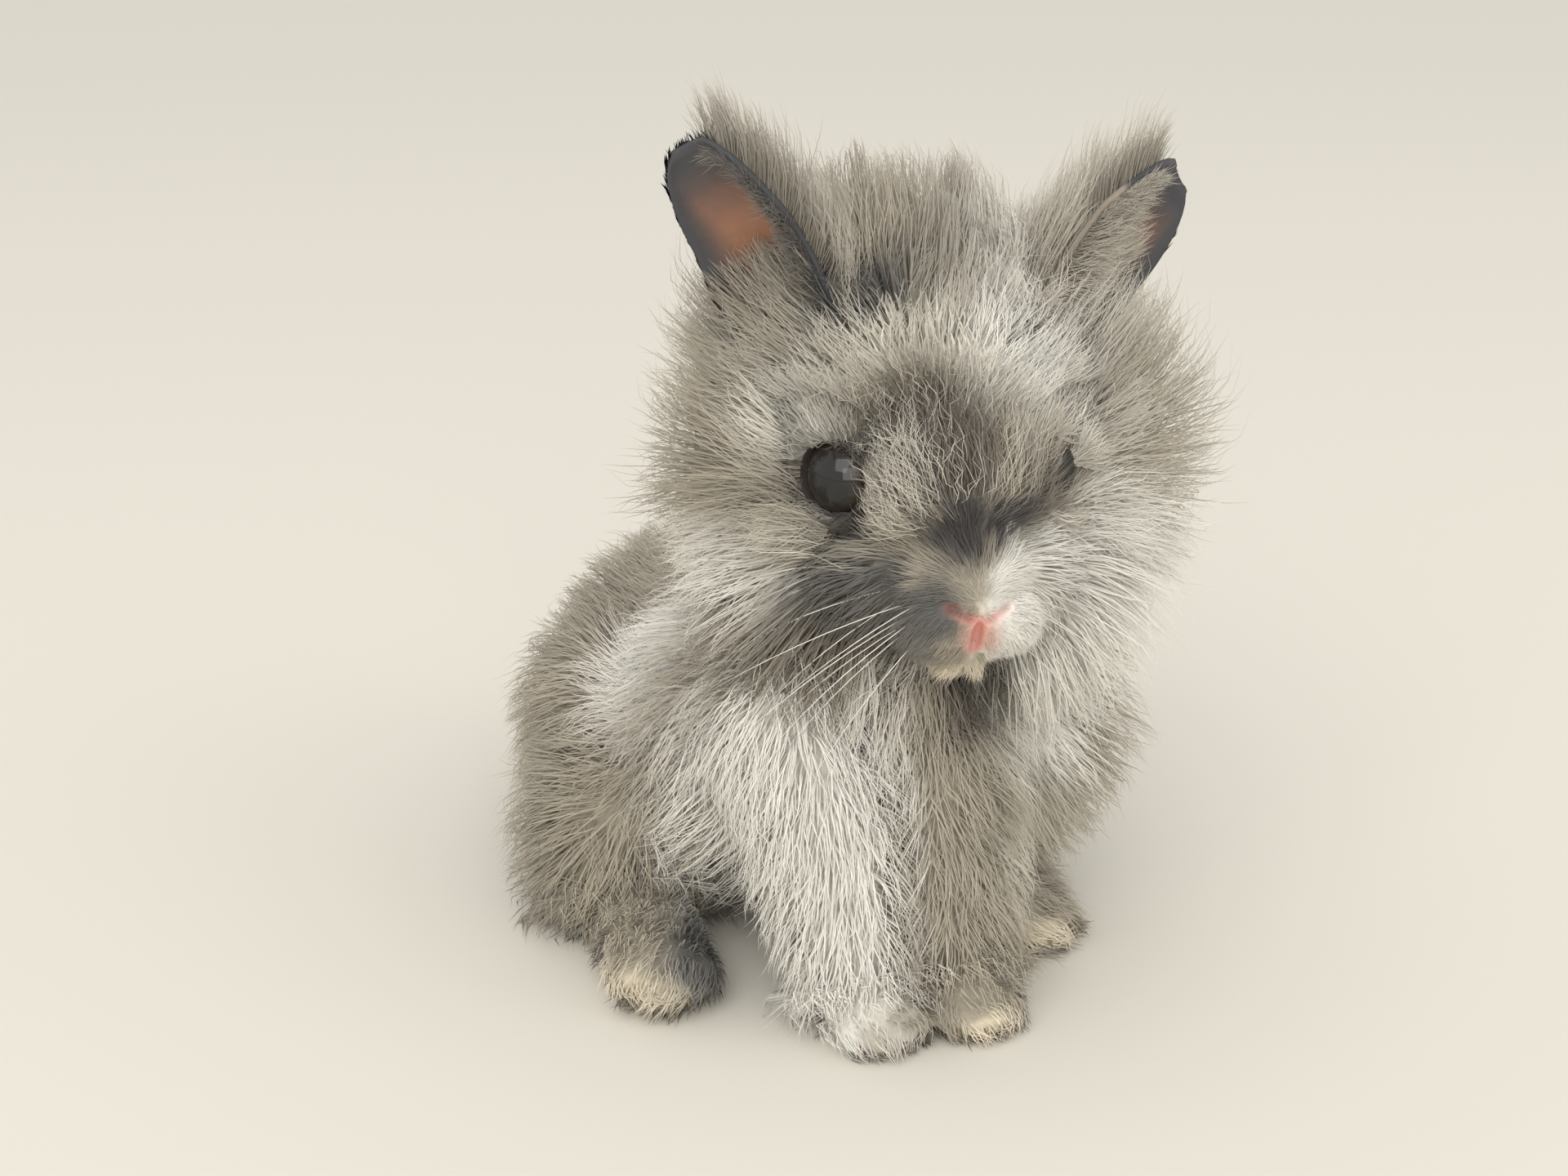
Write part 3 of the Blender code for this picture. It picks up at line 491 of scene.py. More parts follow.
HEAD_BLOTS = [
    # Painted shade on the crown wool behind the pale arc over the brow.
    ("painted shade on the fore crown", SLATE, (-11, 0, 28), (15, 12, 9), 0.4),
    ("pale left crown", MILK, (25, 6, 37), (18, 18, 18), 0.5),
    ("pale arc over the brow", ARC, (0, -11, 21), (26, 9, 8), 0.5),
    ("brown forehead", BROWN, (-5, -20, 9), (13, 12, 12), 0.4),
    ("umber brow", UMBER, (-5, -24, 8), (10, 10, 10), 0.5),
    ("white flash", WHITE, (14, -10, 22), (13, 12, 11), 0.6),
    # Painted light on the right brow, lifting the shade of the hollow between the brow and the mane.
    ("painted light on the right brow", MILK, (-24, -4, 10), (11, 11, 9), 0.6),
    # Painted light on the left temple, lifting the shade of the hollow there.
    ("painted light on the left temple", MILK, (27, -5, 5), (10, 10, 9), 0.6),
    ("slate behind the eye", SLATE, (-27, 13, 17), (9, 9, 9), 0.5),
    ("slate muzzle", SLATE, (-17, -23, -22), (16, 16, 12.5), 0.35),
    ("ash jaw", ASH, (-14, -12, -34), (14, 14, 10), 0.4),
    ("ash throat, right", ASH, (-30, -8, -37), (13, 13, 9), 0.4),
    ("ash under the cheek", ASH, (-31, 9, -39), (9, 12, 9), 0.4),
    ("white left muzzle", WHITE, (15, -23, -20), (12, 14, 13), 0.25),
    ("dark bridge", DARK, (-1, -28, -2), (8, 9, 8), 0.4),
    ("ash round the left eye", ASH, (14, -18, -2), (10, 9, 7), 0.5),
    # Partly the dark corner of the left eye, partly painted shade beside the nose bridge.
    ("dark left eye corner and bridge shade", DARK, (6, -26, -2), (9, 7, 5), 0.4),
    # Partly dark fur round the right eye, partly painted shade that the brow casts over it.
    ("dark rim and brow shade of the right eye", DARK, (-16, -12, -2), (12, 10, 9.5), 0.4),
    ("white left cheek", WHITE, (31, -9, -36), (31, 31, 32), 0.2),
    ("white by the nose", WHITE, (9, -31, -17), (9, 13, 11), 0.2),
    ("white right cheek", WHITE, (-37, 0, -21), (13, 16, 10), 0.35),
    ("pale under the eye", PALE, (-28, -15, -10), (8, 8, 5), 0.5),
    ("slate beside the nose", SLATE, (-6, -33, -16.5), (5.5, 7, 5), 0.4),
    ("cream chin", CREAM, (2, -27, -31), (8, 8, 5), 0.4),
    ("umber under the chin", UMBER, (3, -14, -41), (10, 12, 9), 0.4),
    ("white beard", WHITE, (-9, -14, -44), (9, 12, 9), 0.35),
    ("rose round the nose", ROSE, (1, -36, -20.5), (3, 5, 3.8), 0.6),
]


def coat_colour(points, head_share):
    """The colour of the coat at each place; head_share says how far a place belongs to the head."""
    colour = np.tile(GREY, (len(points), 1))
    colour = colour * (1 + 0.10 * ruffle(points, 22 * MM, 8))[:, None]
    ragged = 0.14 * ruffle(points, 9 * MM)
    for blots, matrix, share in ((BODY_BLOTS, BODY_FRAME, 1 - head_share),
                                 (HEAD_BLOTS, HEAD_FRAME, head_share)):
        places = transformed(matrix.inverted(), points) / MM
        for _, tone, centre, radii, soft in blots:
            reach = np.linalg.norm((places - centre) / np.array(radii), axis=1) + ragged
            cover = step_up(-reach, -1 - soft, -1 + soft) * share
            colour = colour * (1 - cover[:, None]) + tone * cover[:, None]
    return colour


print(len(BODY_BLOTS), "blots on the body and", len(HEAD_BLOTS), "on the head")

# %% [markdown]
# ## How deep the coat is
# Wool on the crown and cheeks is many times as long as the fur round the nose. The lumps say how far the
# coat stands over each of them, and a place takes the greatest depth that reaches it. Round the nose and
# the right eye this is faded out, because a rabbit keeps its face clear. The left eye stays shaggy.

# %% Depth and body part at any place of the skin
SHORTEST = 1.0 * MM
EYE_SHAGGY = {"right": 0.0, "left": 0.55}
EYE_CLEARING = Vector((15, -15, -1.5))
PARTS = ["head", "neck", "torso", "thigh", "foreleg", "hind_foot", "forepaw", "tail"]
HEAD, NECK, HIND_FOOT, FOREPAW = (PARTS.index(name) for name in ("head", "neck", "hind_foot", "forepaw"))
to_lump = [np.array(matrix.inverted()) for _, matrix, _, _ in lumps]
lump_part = np.array([PARTS.index(part) for part, _, _, _ in lumps])


def coat_over(points):
    """The raw depth of the coat, the nearest part, and the way straight out of the flesh."""
    depth = np.zeros(len(points))
    nearest = np.full(len(points), 1e9)
    part = np.zeros(len(points), int)
    for (_, matrix, radii, wool), inverse, number in zip(lumps, to_lump, lump_part):
        local = points @ inverse[:3, :3].T + inverse[:3, 3]
        level = np.linalg.norm(local / radii, axis=1) + 1e-9
        gap = np.linalg.norm(local, axis=1) * (1 - 1 / level)
        depth = np.maximum(depth, wool - np.maximum(gap, 0))
        closer = gap < nearest
        nearest = np.where(closer, gap, nearest)
        part = np.where(closer, number, part)
    return depth, part


def face_depth(points, depth):
    """The coat's depth on the head: never bare, but short round the nose and the eyes."""
    places = transformed(into_head, points) / MM
    nose_far = np.linalg.norm(places - np.array(NOSE) / MM, axis=1)
    depth = np.maximum(depth, 6.5 * MM * step_up(nose_far, 8, 24))
    forehead = step_up(places[:, 2], 2, 12) * (1 - step_up(places[:, 1], 2, 12))
    depth = np.maximum(depth, (9.5 + 4.5 * step_up(abs(places[:, 0]), 6, 18)) * MM * forehead)
    fade = step_up(nose_far, 2, 22)
    for side, sign in SIDES.items():
        off = places - np.array(mirrored(EYE_CLEARING, sign))
        off[:, 2] *= np.where(off[:, 2] > 0, 1.5, 1.0)
        fade *= np.maximum(step_up(np.linalg.norm(off, axis=1), 8, 13), EYE_SHAGGY[side])
    return SHORTEST + np.maximum(depth - SHORTEST, 0) * fade


def share_of_head(part):
    """How far each part's coat takes the head's markings; the neck's takes some of them."""
    return step_up((part == HEAD) + 0.35 * (part == NECK), 0.0, 1.0)


print(len(PARTS), "parts of the body, the shortest fur", SHORTEST / MM, "mm")


# %% [markdown]
# ## Which way the fur lies
# Fur starts at the nose and runs back over the head, falls under the cheeks, flows down the chest and
# back along the sides. On each tuft this direction is pressed flat against the skin before it is used.

# %% The lie of the coat
def coat_lie(points, normals, part):
    """The direction in which the fur lies at each root."""
    nose = np.array(HEAD_FRAME @ NOSE)
    away = unit(points - nose)
    eye_level = (HEAD_FRAME @ EYE_PLACE).z
    fall = np.clip((eye_level - points[:, 2]) / (14 * MM), 0, 1.3)
    face = transformed(into_head, points) / MM
    lip = np.exp(-(face[:, 0] / 4) ** 2) * step_up(-face[:, 2], 16, 19) * step_up(-face[:, 1], 28, 32)
    across_face = np.array(HEAD_FRAME.to_3x3() @ Vector((1, 0, 0)))
    head = away + np.outer(fall, (0, 0, -1)) + np.outer(1.6 * lip * np.sign(face[:, 0]), across_face)
    body = transformed(BODY_FRAME.inverted(), points) / MM
    back = np.clip((body[:, 1] - CHEST[1]) / 30, 0, 1)
    apart = (body[:, 0] - CHEST[0]) / 25 * (1 - back)
    trunk = np.stack([apart, back, 0.55 * back - 1], axis=1)
    ones = np.ones(len(points))
    lies = {"head": head, "neck": away + (0, 0, -0.6), "torso": trunk,
            "thigh": np.tile((0, 0.55, -0.85), (len(points), 1)),
            "foreleg": np.tile((0, 0.1, -1.0), (len(points), 1)),
            "hind_foot": np.stack([0.65 * np.sign(body[:, 0]), -ones, -0.1 * ones], axis=1),
            "forepaw": np.tile((0, -1.0, -0.2), (len(points), 1)),
            "tail": np.tile((0, 0.5, 1.0), (len(points), 1))}
    lie = np.zeros_like(points)
    for number, name in enumerate(PARTS):
        lie[part == number] = lies[name][part == number]
    return unit(lie - normals * (lie * normals).sum(axis=1, keepdims=True))


back_lie = coat_lie(np.array([BODY_FRAME @ (Vector((0, 30, 60)) * MM)]), np.array([[0, 0, 1]]),
                    np.array([PARTS.index("torso")]))
print("on the back the fur lies along", back_lie[0].round(2))

# %% [markdown]
# ## An unwrap for the coat
# Each tuft is coloured from a tiny patch of a flat map, and the patch lies where the tuft's root lies on
# an unwrap of the skin. Tufts that are neighbours on the rabbit are then neighbours on the map too.

# %% Unwrap the skin
bpy.context.view_layer.objects.active = skin
skin.select_set(True)
skin.data.uv_layers.new(name="OFBake")
bpy.ops.object.mode_set(mode="EDIT")
bpy.ops.mesh.select_all(action="SELECT")
bpy.ops.uv.smart_project(angle_limit=math.radians(66), island_margin=0.002)
bpy.ops.object.mode_set(mode="OBJECT")

skin.data.calc_loop_triangles()
triangles = skin.data.loop_triangles
corner = np.empty(len(triangles) * 3, np.int32)
triangles.foreach_get("vertices", corner)
corner = corner.reshape(-1, 3)
loop = np.empty(len(triangles) * 3, np.int32)
triangles.foreach_get("loops", loop)
loop = loop.reshape(-1, 3)
skin_uv = rows(skin.data.uv_layers["OFBake"].data, "uv", 2)
skin_points = rows(skin.data.vertices, "co")
skin_normals = rows(skin.data.vertices, "normal")
print(len(corner), "skin triangles, map spans", skin_uv.min().round(2), "to", skin_uv.max().round(2))

# %% [markdown]
# Now the functions above are asked about every point of the skin, once, so that roots can later be mixed
# from the answers at the corners of their triangle.

# %% Measure the skin
raw_depth, skin_part = coat_over(skin_points)
on_face = face_depth(skin_points, raw_depth)
skin_depth = np.where(skin_part == HEAD, on_face, np.maximum(raw_depth, SHORTEST))
coat_top = skin_points + skin_normals * skin_depth[:, None] * 0.8
skin_tone = coat_colour(coat_top, share_of_head(skin_part))
print("coat is", round(skin_depth.max() * 1000, 1), "mm at its deepest")

# %% [markdown]
# ## The shape of one tuft
# A tuft follows a bending line from its root to a point. A tube of three sides is enough, since each
# one is thinner than half a millimetre and smooth shading rounds it. All of them are worked out at once
# as rows of numbers, and then handed to Blender as a few large meshes, which is quick and stays light.

# %% Bend and taper the tufts
def bend(ends, shares):
    """Points of cubic curves at the given shares of their length."""
    t = np.asarray(shares)[:, None]
    blend = np.hstack([(1 - t) ** 3, 3 * t * (1 - t) ** 2, 3 * t * t * (1 - t), t ** 3])
    return np.einsum("kc,ncd->nkd", blend, ends)


PATCH = 0.003


def strand_mesh(name, spine, width, side_hint, tones, root_uv, outward, flat=0.6, soft=0.85):
    """One mesh of closed three-sided strands, each along its own line of points."""
    count, rings = spine.shape[0], spine.shape[1] - 1
    along = unit(np.gradient(spine, axis=1))
    side = side_hint[:, None] - along * (side_hint[:, None] * along).sum(axis=2, keepdims=True)
    side = unit(side)
    up = np.cross(along, side)
    share = np.linspace(0, 1, rings + 1)
    girth = width[:, None] / 2 * np.minimum(1, 1.5 * (1 - share) ** 0.9)
    turns = np.radians((90, 210, 330))
    ring = (side[:, :, None] * np.cos(turns)[:, None] + up[:, :, None] * flat * np.sin(turns)[:, None])
    glow = np.concatenate([unit(ring[:, :-1]).reshape(count, rings * 3, 3), along[:, -1:]], axis=1)
    glow = unit(glow * (1 - soft) + outward[:, None] * soft)
    ring = spine[:, :-1, None] + ring[:, :-1] * girth[:, :-1, None, None]
    points = np.concatenate([ring.reshape(count, rings * 3, 3), spine[:, -1:]], axis=1)
    points[:, :, 2] = np.maximum(points[:, :, 2], FUR_OFF_FLOOR)
    faces = [(2, 1, 0)]
    for level in range(rings):
        for near, far in ((0, 1), (1, 2), (2, 0)):
            a, b = level * 3 + near, level * 3 + far
            if level + 1 < rings:
                faces += [(a, b, b + 3), (a, b + 3, a + 3)]
            else:
                faces.append((a, b, rings * 3))
    per = rings * 3 + 1
    corners = (np.arange(count)[:, None, None] * per + np.array(faces)).reshape(-1, 3)
    level = np.append(np.repeat(np.arange(rings), 3), rings)
    patch = np.stack([np.append(np.tile((-1, 0, 1), rings), 0), level / rings * 2 - 1], axis=1) * (PATCH / 2)
    uv = root_uv[:, None] + patch
    colour = tones[0][:, None] + (tones[1] - tones[0])[:, None] * (share[level] ** 0.7)[None, :, None]
    obj = mesh_from_rows(name, points.reshape(-1, 3), corners, uv.reshape(-1, 2), colour.reshape(-1, 3))
    if soft:
        lit = obj.data.attributes.new("custom_normal", "FLOAT_VECTOR", "POINT")
        lit.data.foreach_set("vector", glow.astype(np.float32).ravel())
    return obj


def mesh_from_rows(name, points, corners, uv, colour):
    """A mesh object from rows of points and triangles, with its map and its colours."""
    mesh = bpy.data.meshes.new(name)
    mesh.vertices.add(len(points))
    mesh.vertices.foreach_set("co", points.astype(np.float32).ravel())
    mesh.loops.add(corners.size)
    mesh.loops.foreach_set("vertex_index", corners.astype(np.int32).ravel())
    mesh.polygons.add(len(corners))
    mesh.polygons.foreach_set("loop_start", np.arange(0, corners.size, 3, dtype=np.int32))
    mesh.uv_layers.new(name="OFBake").data.foreach_set("uv", uv[corners.ravel()].astype(np.float32).ravel())
    paint(mesh, colour)
    mesh.update(calc_edges=True)
    mesh.shade_smooth()
    obj = bpy.data.objects.new(name, mesh)
    bpy.context.scene.collection.objects.link(obj)
    return obj


def paint(mesh, colour):
    """Store one colour at every vertex."""
    layer = mesh.color_attributes.new("Tone", "FLOAT_COLOR", "POINT")
    full = np.ones((len(colour), 4), np.float32)
    full[:, :3] = np.clip(colour, 0, 1)
    layer.data.foreach_set("color", full.ravel())


straight = np.linspace(0, 1, 4)[None, :, None]
print("half way along a straight tuft of 1 mm:", bend(straight, (0.5,)).item(), "mm")


# %% [markdown]
# ## Materials
# Coat, skin and ears share one look: their own colour, mottled a little so that no two hairs match. That
# mottling is a node group, built once. Each material then sets its own gloss, sheen and bump.

# %% A shared mottling for hair and skin
def mottle_group():
    """A node group that varies a colour by soft noise at two scales."""
    group = bpy.data.node_groups.new("Hair mottle", "ShaderNodeTree")
    group.interface.new_socket("Color", in_out="INPUT", socket_type="NodeSocketColor")
    group.interface.new_socket("Amount", in_out="INPUT", socket_type="NodeSocketFloat")
    group.interface.new_socket("Size", in_out="INPUT", socket_type="NodeSocketFloat")
    group.interface.new_socket("Color", in_out="OUTPUT", socket_type="NodeSocketColor")
    group.interface.new_socket("Height", in_out="OUTPUT", socket_type="NodeSocketFloat")
    nodes, links = group.nodes, group.links
    given, made = nodes.new("NodeGroupInput"), nodes.new("NodeGroupOutput")
    place = nodes.new("ShaderNodeTexCoord")
    noise = nodes.new("ShaderNodeTexNoise")
    noise.inputs["Detail"].default_value = 3
    links.new(place.outputs["Object"], noise.inputs["Vector"])
    links.new(given.outputs["Size"], noise.inputs["Scale"])
    spread = nodes.new("ShaderNodeMapRange")
    spread.inputs["To Min"].default_value = -1
    links.new(noise.outputs["Fac"], spread.inputs["Value"])
    strength = nodes.new("ShaderNodeMath")
    strength.operation = "MULTIPLY_ADD"
    strength.inputs[2].default_value = 1.0
    links.new(spread.outputs["Result"], strength.inputs[0])
    links.new(given.outputs["Amount"], strength.inputs[1])
    scaled = nodes.new("ShaderNodeVectorMath")
    scaled.operation = "SCALE"
    links.new(given.outputs["Color"], scaled.inputs[0])
    links.new(strength.outputs[0], scaled.inputs["Scale"])
    links.new(scaled.outputs[0], made.inputs["Color"])
    links.new(noise.outputs["Fac"], made.inputs["Height"])
    return group


MOTTLE = mottle_group()
BUMP_HEIGHT = 0.6 * MM


def toned_material(name, amount, size, roughness, bump=0.0, **sockets):
    """A material that takes the painted colour, mottles it and adds its own finish."""
    material = bpy.data.materials.new(name)
    material.use_nodes = True
    nodes, links = material.node_tree.nodes, material.node_tree.links
    shader = nodes["Principled BSDF"]
    tone = nodes.new("ShaderNodeAttribute")
    tone.attribute_name = "Tone"
    mottle = nodes.new("ShaderNodeGroup")
    mottle.node_tree = MOTTLE
    mottle.inputs["Amount"].default_value = amount
    mottle.inputs["Size"].default_value = size
    links.new(tone.outputs["Color"], mottle.inputs["Color"])
    links.new(mottle.outputs["Color"], shader.inputs["Base Color"])
    shader.inputs["Roughness"].default_value = roughness
    for socket, value in sockets.items():
        shader.inputs[socket.replace("_", " ")].default_value = value
    if bump:
        relief = nodes.new("ShaderNodeBump")
        relief.inputs["Strength"].default_value = bump
        relief.inputs["Distance"].default_value = BUMP_HEIGHT
        links.new(mottle.outputs["Height"], relief.inputs["Height"])
        links.new(relief.outputs["Normal"], shader.inputs["Normal"])
    return material


SOFT = dict(Sheen_Weight=0.1, Specular_IOR_Level=0.15)
wool = toned_material("Wool", 0.1, 260, 0.75, **SOFT)
short_fur = toned_material("Short fur", 0.12, 420, 0.7, **SOFT)
underfur = toned_material("Skin under the coat", 0.15, 900, 0.85, bump=0.5, Specular_IOR_Level=0.15)
ear_leather = toned_material("Ear skin", 0.12, 350, 0.6, bump=0.3, Specular_IOR_Level=0.3)
nose_leather = toned_material("Nose leather", 0.08, 1500, 0.42, bump=0.35, Specular_IOR_Level=0.45)
wet_eye = toned_material("Wet eye", 0.05, 600, 0.08, Specular_IOR_Level=0.5)
horn = toned_material("Claw horn", 0.15, 900, 0.35, Specular_IOR_Level=0.5)
whisker_hair = toned_material("Whisker hair", 0.05, 300, 0.4, Specular_IOR_Level=0.5)
print(len(bpy.data.materials), "materials")

# %% [markdown]
# ## Dress the skin
# The skin is painted with the same markings as the coat, a little darker, because the roots shade it. The
# ears are bare inside: warm brown where the light comes through, and slate along the rims. The nose gets
# its pink from the distance to the lines that were pressed into it.

# %% Sample the ears
def ear_sheet(side, turn, share):
    """A point of the ear, its way to the tip, its way across and its bare inner face."""
    step = 0.01
    place = ear_point(side, turn, share)
    to_tip = ear_point(side, turn, min(1, share + step)) - ear_point(side, turn, share - step)
    across_ear = ear_point(side, turn + step, share) - ear_point(side, turn - step, share)
    inner = across_ear.cross(to_tip).normalized()
    if inner.dot(HEAD_FRAME.to_3x3() @ mirrored(EAR_FACING, SIDES[side])) < 0:
        inner = -inner
    return place, to_tip.normalized(), across_ear.normalized(), inner


ear_samples = []
for side in SIDES:
    for turn in np.linspace(-1, 1, 25):
        for share in np.linspace(0.02, 0.995, 40):
            place, _, _, inner = ear_sheet(side, turn, share)
            ear_samples.append((side, turn, share, place, inner))
ear_tree = kdtree.KDTree(len(ear_samples))
for number, sample in enumerate(ear_samples):
    ear_tree.insert(sample[3], number)
ear_tree.balance()

# Inside the ears the bare skin is warm brown with painted light that shines through it.
EAR_INSIDE_LIT_THROUGH = linear(160, 116, 92)
EAR_RIM = linear(76, 76, 79)
EAR_WOOL = linear(160, 150, 136)
on_ear = np.zeros(len(skin_points), bool)
ear_inside = np.zeros(len(skin_points))
ear_woolly = np.zeros(len(skin_points), bool)
candidates = np.flatnonzero(transformed(into_head, skin_points)[:, 2] > 8 * MM)
for index in candidates:
    _, number, gap = ear_tree.find(skin_points[index])
    side, turn, share, place, inner = ear_samples[number]
    if gap < 1.8 * MM and share > 0.22:
        on_ear[index] = True
        faces_in = inner.dot(Vector(skin_normals[index])) > 0.1
        rim = max(step_up(abs(turn), 0.25, 0.9), step_up(share, 0.6, 0.95))
        woolly = side == "left" and turn < -0.1 and share < 0.75
        ear_woolly[index] = woolly
        ear_inside[index] = (1 - rim) * faces_in
skin_tone[on_ear] = EAR_RIM + (EAR_INSIDE_LIT_THROUGH - EAR_RIM) * ear_inside[on_ear][:, None]
skin_tone[ear_woolly] = EAR_WOOL
print(on_ear.sum(), "skin points on the ears")

# %% [markdown]
# The pink of the nose fades out from its lines, faster from the slit than from the nostrils, and the pits
# of the nostrils get painted shade. The skin round each eyeball is dark too: its lid rims are dark, and
# painted shade fills the socket behind the eyeball, which would otherwise show as a pale ring.

# %% Paint the skin
PINK = linear(196, 84, 78)
LID_RIM_AND_SOCKET_SHADE = linear(62, 56, 54)
on_head = transformed(into_head, skin_points)
slit_reach = distance_to_line(on_head, slit_line)
nostril_reach = np.min([distance_to_line(on_head, line) for line in nostril_lines], axis=0)
pink_reach = np.minimum(slit_reach * 1.1, nostril_reach)
from_middle = np.linalg.norm(on_head - np.array(slit_line[0]) * MM, axis=1)
faded = 1 - 0.55 * step_up(from_middle, 2 * MM, 6 * MM) * (nostril_reach < slit_reach)
pink = (np.exp(-(pink_reach / (1.0 * MM)) ** 2) * faded)[:, None]
skin_tone = skin_tone * 0.92
skin_tone = skin_tone * (1 - pink) + PINK * pink
# Painted shade in the pits of the nostrils, round the second point of each nostril line.
for line in nostril_lines:
    hollow = np.exp(-(np.linalg.norm(on_head - np.array(line[1]) * MM, axis=1) / (0.8 * MM)) ** 2)[:, None]
    skin_tone = skin_tone * (1 - 0.65 * hollow)
# Dark lid rims, and painted shade in the socket gap behind each eyeball, fading out by 13 mm.
for side in SIDES:
    gap = from_eye(skin_points, side)
    socket = (1 - step_up(gap, 9.5 * MM, 13 * MM))[:, None]
    skin_tone = skin_tone * (1 - socket) + LID_RIM_AND_SOCKET_SHADE * socket
paint(skin.data, skin_tone)
skin.data.materials.clear()
for material in (underfur, ear_leather, nose_leather):
    skin.data.materials.append(material)
face_corner = np.array([face.vertices[0] for face in skin.data.polygons])
slot_of = np.where(on_ear[face_corner], 1, np.where(pink[face_corner, 0] > 0.3, 2, 0))
skin.data.polygons.foreach_set("material_index", slot_of.astype(np.int32))
print((slot_of == 2).sum(), "faces of bare nose")

# %% [markdown]
# ## Roots
# Roots are scattered over the skin's triangles. Long wool needs more of them, since it fans out, and so
# does the very short fur of the face, since each hair there covers so little.

# %% Scatter the roots
draw = np.random.default_rng(20)
corner_points = skin_points[corner]
face_area = np.linalg.norm(np.cross(corner_points[:, 1] - corner_points[:, 0],
                                    corner_points[:, 2] - corner_points[:, 0]), axis=1) / 2
corner_part = skin_part[corner[:, 0]]
corner_depth = skin_depth[corner].mean(axis=1)
bald = on_ear[corner].any(axis=1) | (nostril_reach[corner].min(axis=1) < 0.95 * MM)
bald |= slit_reach[corner].min(axis=1) < 1.05 * MM
eye_gap = np.min([from_eye(skin_points, side) for side in SIDES], axis=0)[corner].mean(axis=1)
denser = 1 + 2.5 * (1 - step_up(eye_gap, 10 * MM, 15 * MM))
nose_gap = np.linalg.norm(on_head - np.array(NOSE), axis=1)[corner].mean(axis=1)
denser += 7 * (1 - step_up(nose_gap, 5 * MM, 14 * MM))


def scatter(mask, count, wool_gain=0.0):
    """Roots on the skin where mask holds: places, normals, map places, depths and parts."""
    weight = face_area * (mask & ~bald) * (1 + wool_gain * corner_depth / (10 * MM)) * denser
    chosen = draw.choice(len(weight), size=count, p=weight / weight.sum())
    first, second = draw.random(count), draw.random(count)
    flip = first + second > 1
    first, second = np.where(flip, 1 - first, first), np.where(flip, 1 - second, second)
    mix = np.stack([1 - first - second, first, second], axis=1)

    def blend(values, index):
        return np.einsum("nc,ncd->nd", mix, values[index[chosen]])

    normal = unit(blend(skin_normals, corner))
    place = blend(skin_points, corner)
    depth = blend(skin_depth[:, None], corner)[:, 0]
    return place - normal * 0.3 * MM, normal, blend(skin_uv, loop), depth, corner_part[chosen]


# %% [markdown]
# ## How a tuft grows
# It leaves the skin nearly upright, bends over, and runs on along the lie of the coat. Near the nose and
# the eyes it is short.

# %% Grow tufts from their roots
def gather(ends, group, pull):
    """Lean the tips of neighbouring tufts together, by one share of the way or by one for each."""
    pull = np.broadcast_to(pull, len(ends))[:, None]
    guides = draw.choice(len(ends), max(1, len(ends) // group), replace=False)
    tree = kdtree.KDTree(len(guides))
    for number, guide in enumerate(guides):
        tree.insert(ends[guide, 0], number)
    tree.balance()
    nearest = guides[[tree.find(root)[1] for root in ends[:, 0]]]
    ends[:, 2] += (ends[nearest, 2] - ends[:, 2]) * pull * 0.5
    ends[:, 3] += (ends[nearest, 3] - ends[:, 3]) * pull
    return nearest


EYE_PARTING = {"right": 1.2, "left": -0.2}
EYE_CLEAR = {"right": 1.0, "left": 0.02}
EYE_FUR = {"right": 2.2 * MM, "left": 8.0 * MM}
EYE_WINDOW = (6.7, 5.1)


def around_eyes(root, lie, normal):
    """Turn the lie so that the fur parts round the right eye and leans over the left one."""
    for side, parting in EYE_PARTING.items():
        off = root - np.array(eye_frames[side].translation)
        gap = np.linalg.norm(off, axis=1, keepdims=True)
        lie = lie + unit(off) * (1 - step_up(gap, 9 * MM, 14 * MM)) * parting
    return unit(lie - normal * (lie * normal).sum(axis=1, keepdims=True))


def clear_of_eyes(spine):
    """Which tufts leave the open part of each eye in sight."""
    keep = np.ones(len(spine), bool)
    wide, high = EYE_WINDOW
    for side, clear in EYE_CLEAR.items():
        local = transformed(eye_frames[side].inverted(), spine.reshape(-1, 3)).reshape(spine.shape) / MM
        inside = (local[:, :, 0] / wide) ** 2 + (local[:, :, 1] / high) ** 2 < clear
        keep &= ~(inside & (local[:, :, 2] > 2) & (local[:, :, 2] < 14)).any(axis=1)
    return keep


print("fur beside the right eye is at least", round(EYE_FUR["right"] / MM, 1), "mm long")

# %% [markdown]
# How far a tuft runs on along the skin depends on where it is. It is long over the mane and short on the
# forehead and the feet, and near the nose and the right eye it ends before it would hang over them.

# %% How far a tuft runs, how it curls and what tone it has
FOOT_REACH = {HIND_FOOT: 6.0 * MM, FOREPAW: 4.5 * MM}


def reach_along(root, place, depth, part):
    """How far each tuft runs along the skin; place is its root in the head's axes."""
    nose_far = np.linalg.norm(place - np.array(NOSE), axis=1)
    on_head = part == HEAD
    reach = 5.5 * MM + 0.55 * depth
    reach = np.where(on_head, np.minimum(reach, np.maximum(0.8 * nose_far - 2 * MM, 1.4 * MM)), reach)
    for side, shortest in EYE_FUR.items():
        past_lid = 1.9 * (from_eye(root, side) - 7.5 * MM)
        reach = np.where(on_head, np.minimum(reach, np.maximum(past_lid, shortest)), reach)
    behind = step_up(place[:, 1], 2 * MM, 12 * MM)
    forehead = on_head * step_up(place[:, 2], 2 * MM, 12 * MM) * (1 - behind)
    reach = reach * (1 - 0.6 * forehead)
    for foot, foot_reach in FOOT_REACH.items():
        reach = np.where(part == foot, foot_reach, reach)
    return reach


